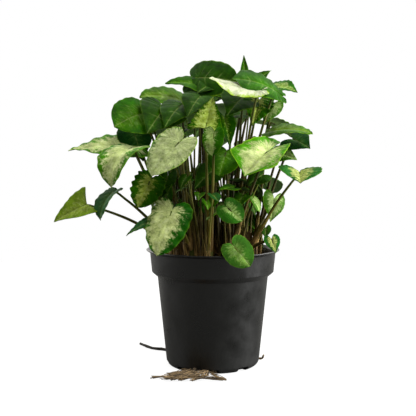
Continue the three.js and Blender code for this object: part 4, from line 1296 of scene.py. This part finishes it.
def join(name, pieces, material=None):
    """Several objects as one, with the name given, and a material if there is one to add."""
    select_only(*pieces)
    if len(pieces) > 1:
        bpy.ops.object.join()
    pieces[0].name = name
    pieces[0].data.name = name
    if material:
        pieces[0].data.materials.append(material)
    return pieces[0]


def stem_radius(share, angle):
    return STEM_FOOT_RADIUS + (STEM_TOP_RADIUS - STEM_FOOT_RADIUS) * share


for seed, (letter, (x, y)) in enumerate(PLANTLETS.items()):
    own = [leaf for leaf in leaves + inner if leaf["plantlet"] == letter]
    node = "plantlet_" + letter.lower()

    blades = join(node + "_blades", [make_blade(leaf) for leaf in own], leaf_upper)
    blades.data.materials.append(leaf_under)
    apply_modifier(blades, "SOLIDIFY", thickness=BLADE_THICKNESS, offset=0, material_offset=1)
    smooth(blades, PLANTLET_SMOOTHING)
    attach(blades, "root")
    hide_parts(node)

    tubes, sleeves = [], []
    for leaf in own:
        stout, shade = leaf["stout"], rng.uniform(0, 1)
        tubes.append(make_tube("stalk", leaf["route"], stalk_radius(stout), shade, leaf["seed"]))
        lower = smooth_through(leaf["route"], np.linspace(0.01, rng.uniform(*SLEEVE_ENDS), 8))
        around = sleeve_radius(stout, rng.uniform(0, 2 * math.pi))
        sleeves.append(make_tube("sleeve", lower, around, rng.uniform(0, 1), leaf["seed"]))
    line = np.array([[x, y, z] for z in np.linspace(STEM_BOTTOM_Z, STEM_TOP_Z, 4)])
    tubes.append(make_tube("stem", line, stem_radius, STEM_SHADE, seed))
    stalks = join(node + "_stalks", tubes, stalk_skin)
    sleeve = join("sleeve", sleeves, fresh_sheath)
    sheaths = []
    for number in range(SHEATHS):
        turn, height, lean, shade = (rng.uniform(*span) for span in SHEATH_SPANS)
        sheaths.append(make_sheath(x, y, turn, height, lean, shade, seed * 3 + number))
    sheath = join("sheath", sheaths, dry_sheath)
    apply_modifier(sheath, "SOLIDIFY", thickness=SHEATH_THICKNESS, offset=1)
    stalks = join(node + "_stalks", [stalks, sleeve, sheath])
    smooth(stalks, PLANTLET_SMOOTHING)
    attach(stalks, "root")
    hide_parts(node)
print("plantlets:", len(PLANTLETS))

# %% [markdown]
# ## The soil
#
# Potting mix is dark peat with bark and a few pale grains of perlite. The surface is a disc of
# rings, lumpy at the scale of crumbs, and its side goes down inside the pot.

# %% Soil body
SOIL_EDGE_Z = 136
SOIL_MOUND = 4
SOIL_EDGE_RADIUS = COLLAR_BOTTOM_RADIUS - WALL - 0.4
SOIL_RINGS = 44
SOIL_SIDES = 180
PEAT_CRUMB = 2.2 * MM
BARK_BIT = 2.6 * MM

soil_profile = [
    (SLOT_INNER_RADIUS - 3, FLOOR_THICKNESS + 0.4),
    (BODY_BOTTOM_RADIUS - WALL - 0.6, 14),
    (BODY_TOP_RADIUS - WALL - 0.6, BODY_TOP_Z + 1),
    (SOIL_EDGE_RADIUS, COLLAR_BOTTOM_Z + 1),
]
soil_profile += [(r, SOIL_EDGE_Z) for r in np.linspace(SOIL_EDGE_RADIUS, 1.5, SOIL_RINGS)]
soil = turn_profile("potting_soil", soil_profile, SOIL_SIDES)


def soil_top(x, y):
    """Height of the soil in millimetres: a low mound with lumps, and crumbs on top."""
    mound = SOIL_MOUND * (1 - (x**2 + y**2) / COLLAR_BOTTOM_RADIUS**2)
    lumps = np.sin(x / 5.3) * np.cos(y / 4.1) + np.sin(x / 9.7 - y / 7.9)
    crumbs = np.sin(x * 1.9 + 2 * np.sin(y * 0.9)) * np.cos(y * 1.7 + 2 * np.sin(x * 1.1))
    fine = np.sin(x * 3.7 + y * 1.3) * np.cos(y * 4.1 - x * 0.7)
    return SOIL_EDGE_Z + mound + 1.1 * lumps + 0.55 * crumbs + 0.3 * fine


places = places_of(soil) / MM
on_top = places[:, 2] > SOIL_EDGE_Z - 1
places[on_top, 2] = soil_top(places[on_top, 0], places[on_top, 1])
move_to(soil.data, places * MM)

peat, node, shader = new_material("peat and bark potting mix")
place = node("TexCoord", output="Object")
crumb = node("TexNoise", {"Vector": place, "Scale": 1 / PEAT_CRUMB, "Detail": 5})
bits = node("TexVoronoi", {"Vector": place, "Scale": 1 / BARK_BIT}, "Color")
bark_share = node("MapRange", [node("SeparateColor", [bits]), 0.6, 0.95, 0, 0.7])
colour = node("Mix", [crumb, "#120d09", "#3f2e1f"], data_type="RGBA")
colour = node("Mix", [bark_share, colour, "#6a4c2d"], data_type="RGBA")
bump = node("Bump", {"Height": crumb, "Strength": 0.9, "Distance": 1.2 * MM})
fill(shader, {"Base Color": colour, "Normal": bump, "Roughness": 0.95})
soil.data.materials.append(peat)
smooth(soil, 50)
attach(soil, "root")
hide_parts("soil")
print("soil faces:", len(soil.data.polygons))

# %% [markdown]
# Loose crumbs of bark and perlite lie on the soil. One crumb is an icosphere of few faces with its
# corners pushed about, and the others are copies of it, squashed and turned.

# %% Crumbs
CRUMB_EDGE = SOIL_EDGE_RADIUS - 3  # no crumb lies further out
CRUMB_LUMPS = 0.25  # how far a crumb's corners are pushed, as a share of its radius
CRUMB_TILT = 0.5  # radians

crumb_blank = new_mesh("crumb_blank", bpy.ops.mesh.primitive_ico_sphere_add, subdivisions=2, radius=1)
crumb_shape = places_of(crumb_blank)


def turned_about(points, angles):
    """Points turned about X, Y and Z in turn."""
    for axis, angle in enumerate(angles):
        i, j = [k for k in range(3) if k != axis]
        c, s = math.cos(angle), math.sin(angle)
        turned = points.copy()
        turned[:, i] = c * points[:, i] - s * points[:, j]
        turned[:, j] = s * points[:, i] + c * points[:, j]
        points = turned
    return points


def grain_skin(name, grain, detail, dark, light, roughness):
    """A rough skin that is mottled between two colours at the size of its grain."""
    material, node, shader = new_material(name)
    place = node("TexCoord", output="Object")
    mottle = node("TexNoise", {"Vector": place, "Scale": 1 / grain, "Detail": detail})
    colour = node("Mix", [mottle, dark, light], data_type="RGBA")
    fill(shader, {"Base Color": colour, "Roughness": roughness})
    return material


def scatter(name, count, smallest, largest, flatness, material):
    """Crumbs of the given sizes in millimetres, spread over the soil."""
    crumbs = []
    for _ in range(count):
        away = math.sqrt(rng.uniform(0, 1)) * CRUMB_EDGE
        heading = rng.uniform(0, 2 * math.pi)
        x, y = away * math.cos(heading), away * math.sin(heading)
        size = rng.uniform(smallest, largest) / 2
        lumps = rng.uniform(-CRUMB_LUMPS, CRUMB_LUMPS, (len(crumb_shape), 1))
        shape = crumb_shape * (1 + lumps) * (1, 1, flatness)
        shape = turned_about(shape, rng.uniform(-CRUMB_TILT, CRUMB_TILT, 3)) * size
        shape += (x, y, soil_top(x, y) + size * flatness * 0.5)
        crumbs.append(copy_of(crumb_blank, "crumb", shape * MM))
    piece = join(name, crumbs, material)
    smooth(piece, 30)
    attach(piece, "root")


bark = grain_skin("bark chip", 3 * MM, 4, "#2c1d12", "#9a7444", 0.9)
perlite = grain_skin("expanded perlite grain", 0.8 * MM, 3, "#a89d86", "#e9e2d0", 0.95)
scatter("bark_crumbs", 260, 1.5, 5, 0.55, bark)
scatter("perlite_grains", 70, 1.2, 3, 0.8, perlite)
print("crumb materials:", bark.name, "/", perlite.name)

# %% [markdown]
# ## The roots
#
# The pot is full, so roots have come out of the drain slots and lie on the surface. They are tubes
# of uneven thickness with a fibrous brown bark. Each strand of the mat in front is split into
# finer fibres, some stout and some thin, that wander about its line.

# %% Root strands: points, radius at the start, radius at the end, in millimetres
MAT_STRANDS = [
    ([(-25, -44, 3.4), (-32, -58, 3), (-46, -70, 2.6), (-74, -78, 1.6)], 2.4, 1),
    ([(-22, -45, 3.2), (-30, -62, 3), (-42, -74, 2.6), (-57, -84, 2.2)], 2.6, 1.8),
    ([(-18, -46, 3.4), (-24, -62, 3.6), (-30, -78, 3.4), (-50, -87, 2)], 2.6, 1.6),
    ([(-14, -48, 3.2), (-16, -64, 3), (-26, -80, 2.8), (-40, -88, 2)], 2.6, 1.6),
    ([(-10, -49, 3.4), (-8, -66, 3), (-14, -80, 2.6), (-24, -89, 2)], 2.6, 1.4),
    ([(-7, -51, 3.2), (-12, -66, 4.4), (-30, -76, 4.4), (-56, -80, 2.4)], 2.2, 1.2),
    ([(-27, -43, 3.2), (-38, -56, 3), (-46, -60, 2.4), (-54, -66, 1.8)], 2.2, 1.2),
    ([(-7, -51, 3.2), (0, -66, 3), (6, -78, 2.8), (14, -87, 1.8)], 2.2, 1.2),
    ([(-56, -84, 2), (-36, -85, 3.2), (-12, -85, 3.4), (11, -84, 2)], 1.4, 1.6),
]
BACK_LINE = [(-34, 36, 3.4), (-50, 50, 2.6), (-68, 64, 1.8), (-84, 72, 1.8), (-102, 97, 1.8)]
BACK_STRAND = (BACK_LINE, 2.4, 1.7)
RIGHT_STRAND = ([(50, 8.7, 3.6), (58, 10, 3), (64, 9, 3.4), (66, 4, 9)], 1.7, 1.1)
STOUT_FIBRES = (5, 0.75, (0.2, 0.6))  # how many to a strand, how far they stray, how thick
THIN_FIBRES = (6, 1.3, (0.08, 0.2))
THINNEST = (0.35, 0.3)  # at the start and at the end
ROOT_FIBRE = 0.9 * MM


def root_bark(name, dark, light):
    """Fibrous bark whose strands differ in shade."""
    material, node, shader = new_material(name)
    lying = node("Attribute", output="Vector", attribute_name="lying")
    drawn = node("Mapping", {"Vector": lying, "Scale": (1, 0.12, 1)})
    fibres = node("TexNoise", {"Vector": drawn, "Scale": 1 / ROOT_FIBRE, "Detail": 5})
    colour = node("Mix", [node("MapRange", [fibres, 0.3, 0.7]), dark, light], data_type="RGBA")
    shade = node("Attribute", output="Fac", attribute_name="shade")
    value = node("Math", [shade, 1.5, 0.25], operation="MULTIPLY_ADD")
    colour = node("HueSaturation", {"Color": colour, "Value": value})
    bump = node("Bump", {"Height": fibres, "Strength": 0.7, "Distance": 0.5 * MM})
    fill(shader, {"Base Color": colour, "Normal": bump, "Roughness": 0.85})
    return material


def frayed(strands, fibres, spread, stout):
    """Each strand as a loose bundle of thinner fibres that wander inside its thickness."""
    frayed_strands = []
    for points, start, end in strands:
        for _ in range(fibres):
            points = np.array(points, float)
            wander = rng.normal(0, 1, points.shape) * (spread * (start + end) / 2)
            wander[:, 2] = np.abs(wander[:, 2]) * 0.7
            thin = rng.uniform(*stout)
            ends = max(start * thin, THINNEST[0]), max(end * thin, THINNEST[1])
            frayed_strands.append((points + wander, *ends))
    return frayed_strands


def make_roots(name, strands, material, node):
    """Root strands as one piece: tubes whose thickness wobbles along and around."""
    tubes = []
    for number, (points, start, end) in enumerate(strands):
        phase = rng.uniform(0, 6, 3)

        def radius_at(share, angle, start=start, end=end, phase=phase):
            along = 0.1 * np.sin(share * 23 + phase[0])
            twisted = 0.08 * np.sin(share * 51 + 3 * angle + phase[1])
            ribs = 0.08 * np.sin(5 * angle + phase[2])
            return (start + (end - start) * share) * (1 + (along + twisted) + ribs)

        shade = rng.uniform(0, 1)
        tubes.append(make_tube("strand", np.array(points, float), radius_at, shade, number))
    piece = join(name, tubes, material)
    smooth(piece, 50)
    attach(piece, "root")
    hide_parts(node)


brown_bark = root_bark("brown root bark", "#2a1f12", "#8a7350")
dark_bark = root_bark("dark wet root bark", "#0d0c08", "#2a2415")
fibres = frayed(MAT_STRANDS, *STOUT_FIBRES) + frayed(MAT_STRANDS, *THIN_FIBRES)
make_roots("root_mat_strands", fibres, brown_bark, "root_mat")
make_roots("dark_root", [BACK_STRAND], dark_bark, "root_back")
make_roots("root_tip", [RIGHT_STRAND], brown_bark, "root_right")
print("fibres in the root mat:", len(fibres))

# %% [markdown]
# ## Finishing
#
# The blanks are thrown away.

# %% Remove the blanks
for spare in (leaf_blank["sheet"], small_blank["sheet"], tube_blank, sheath_blank, crumb_blank):
    bpy.data.objects.remove(spare)
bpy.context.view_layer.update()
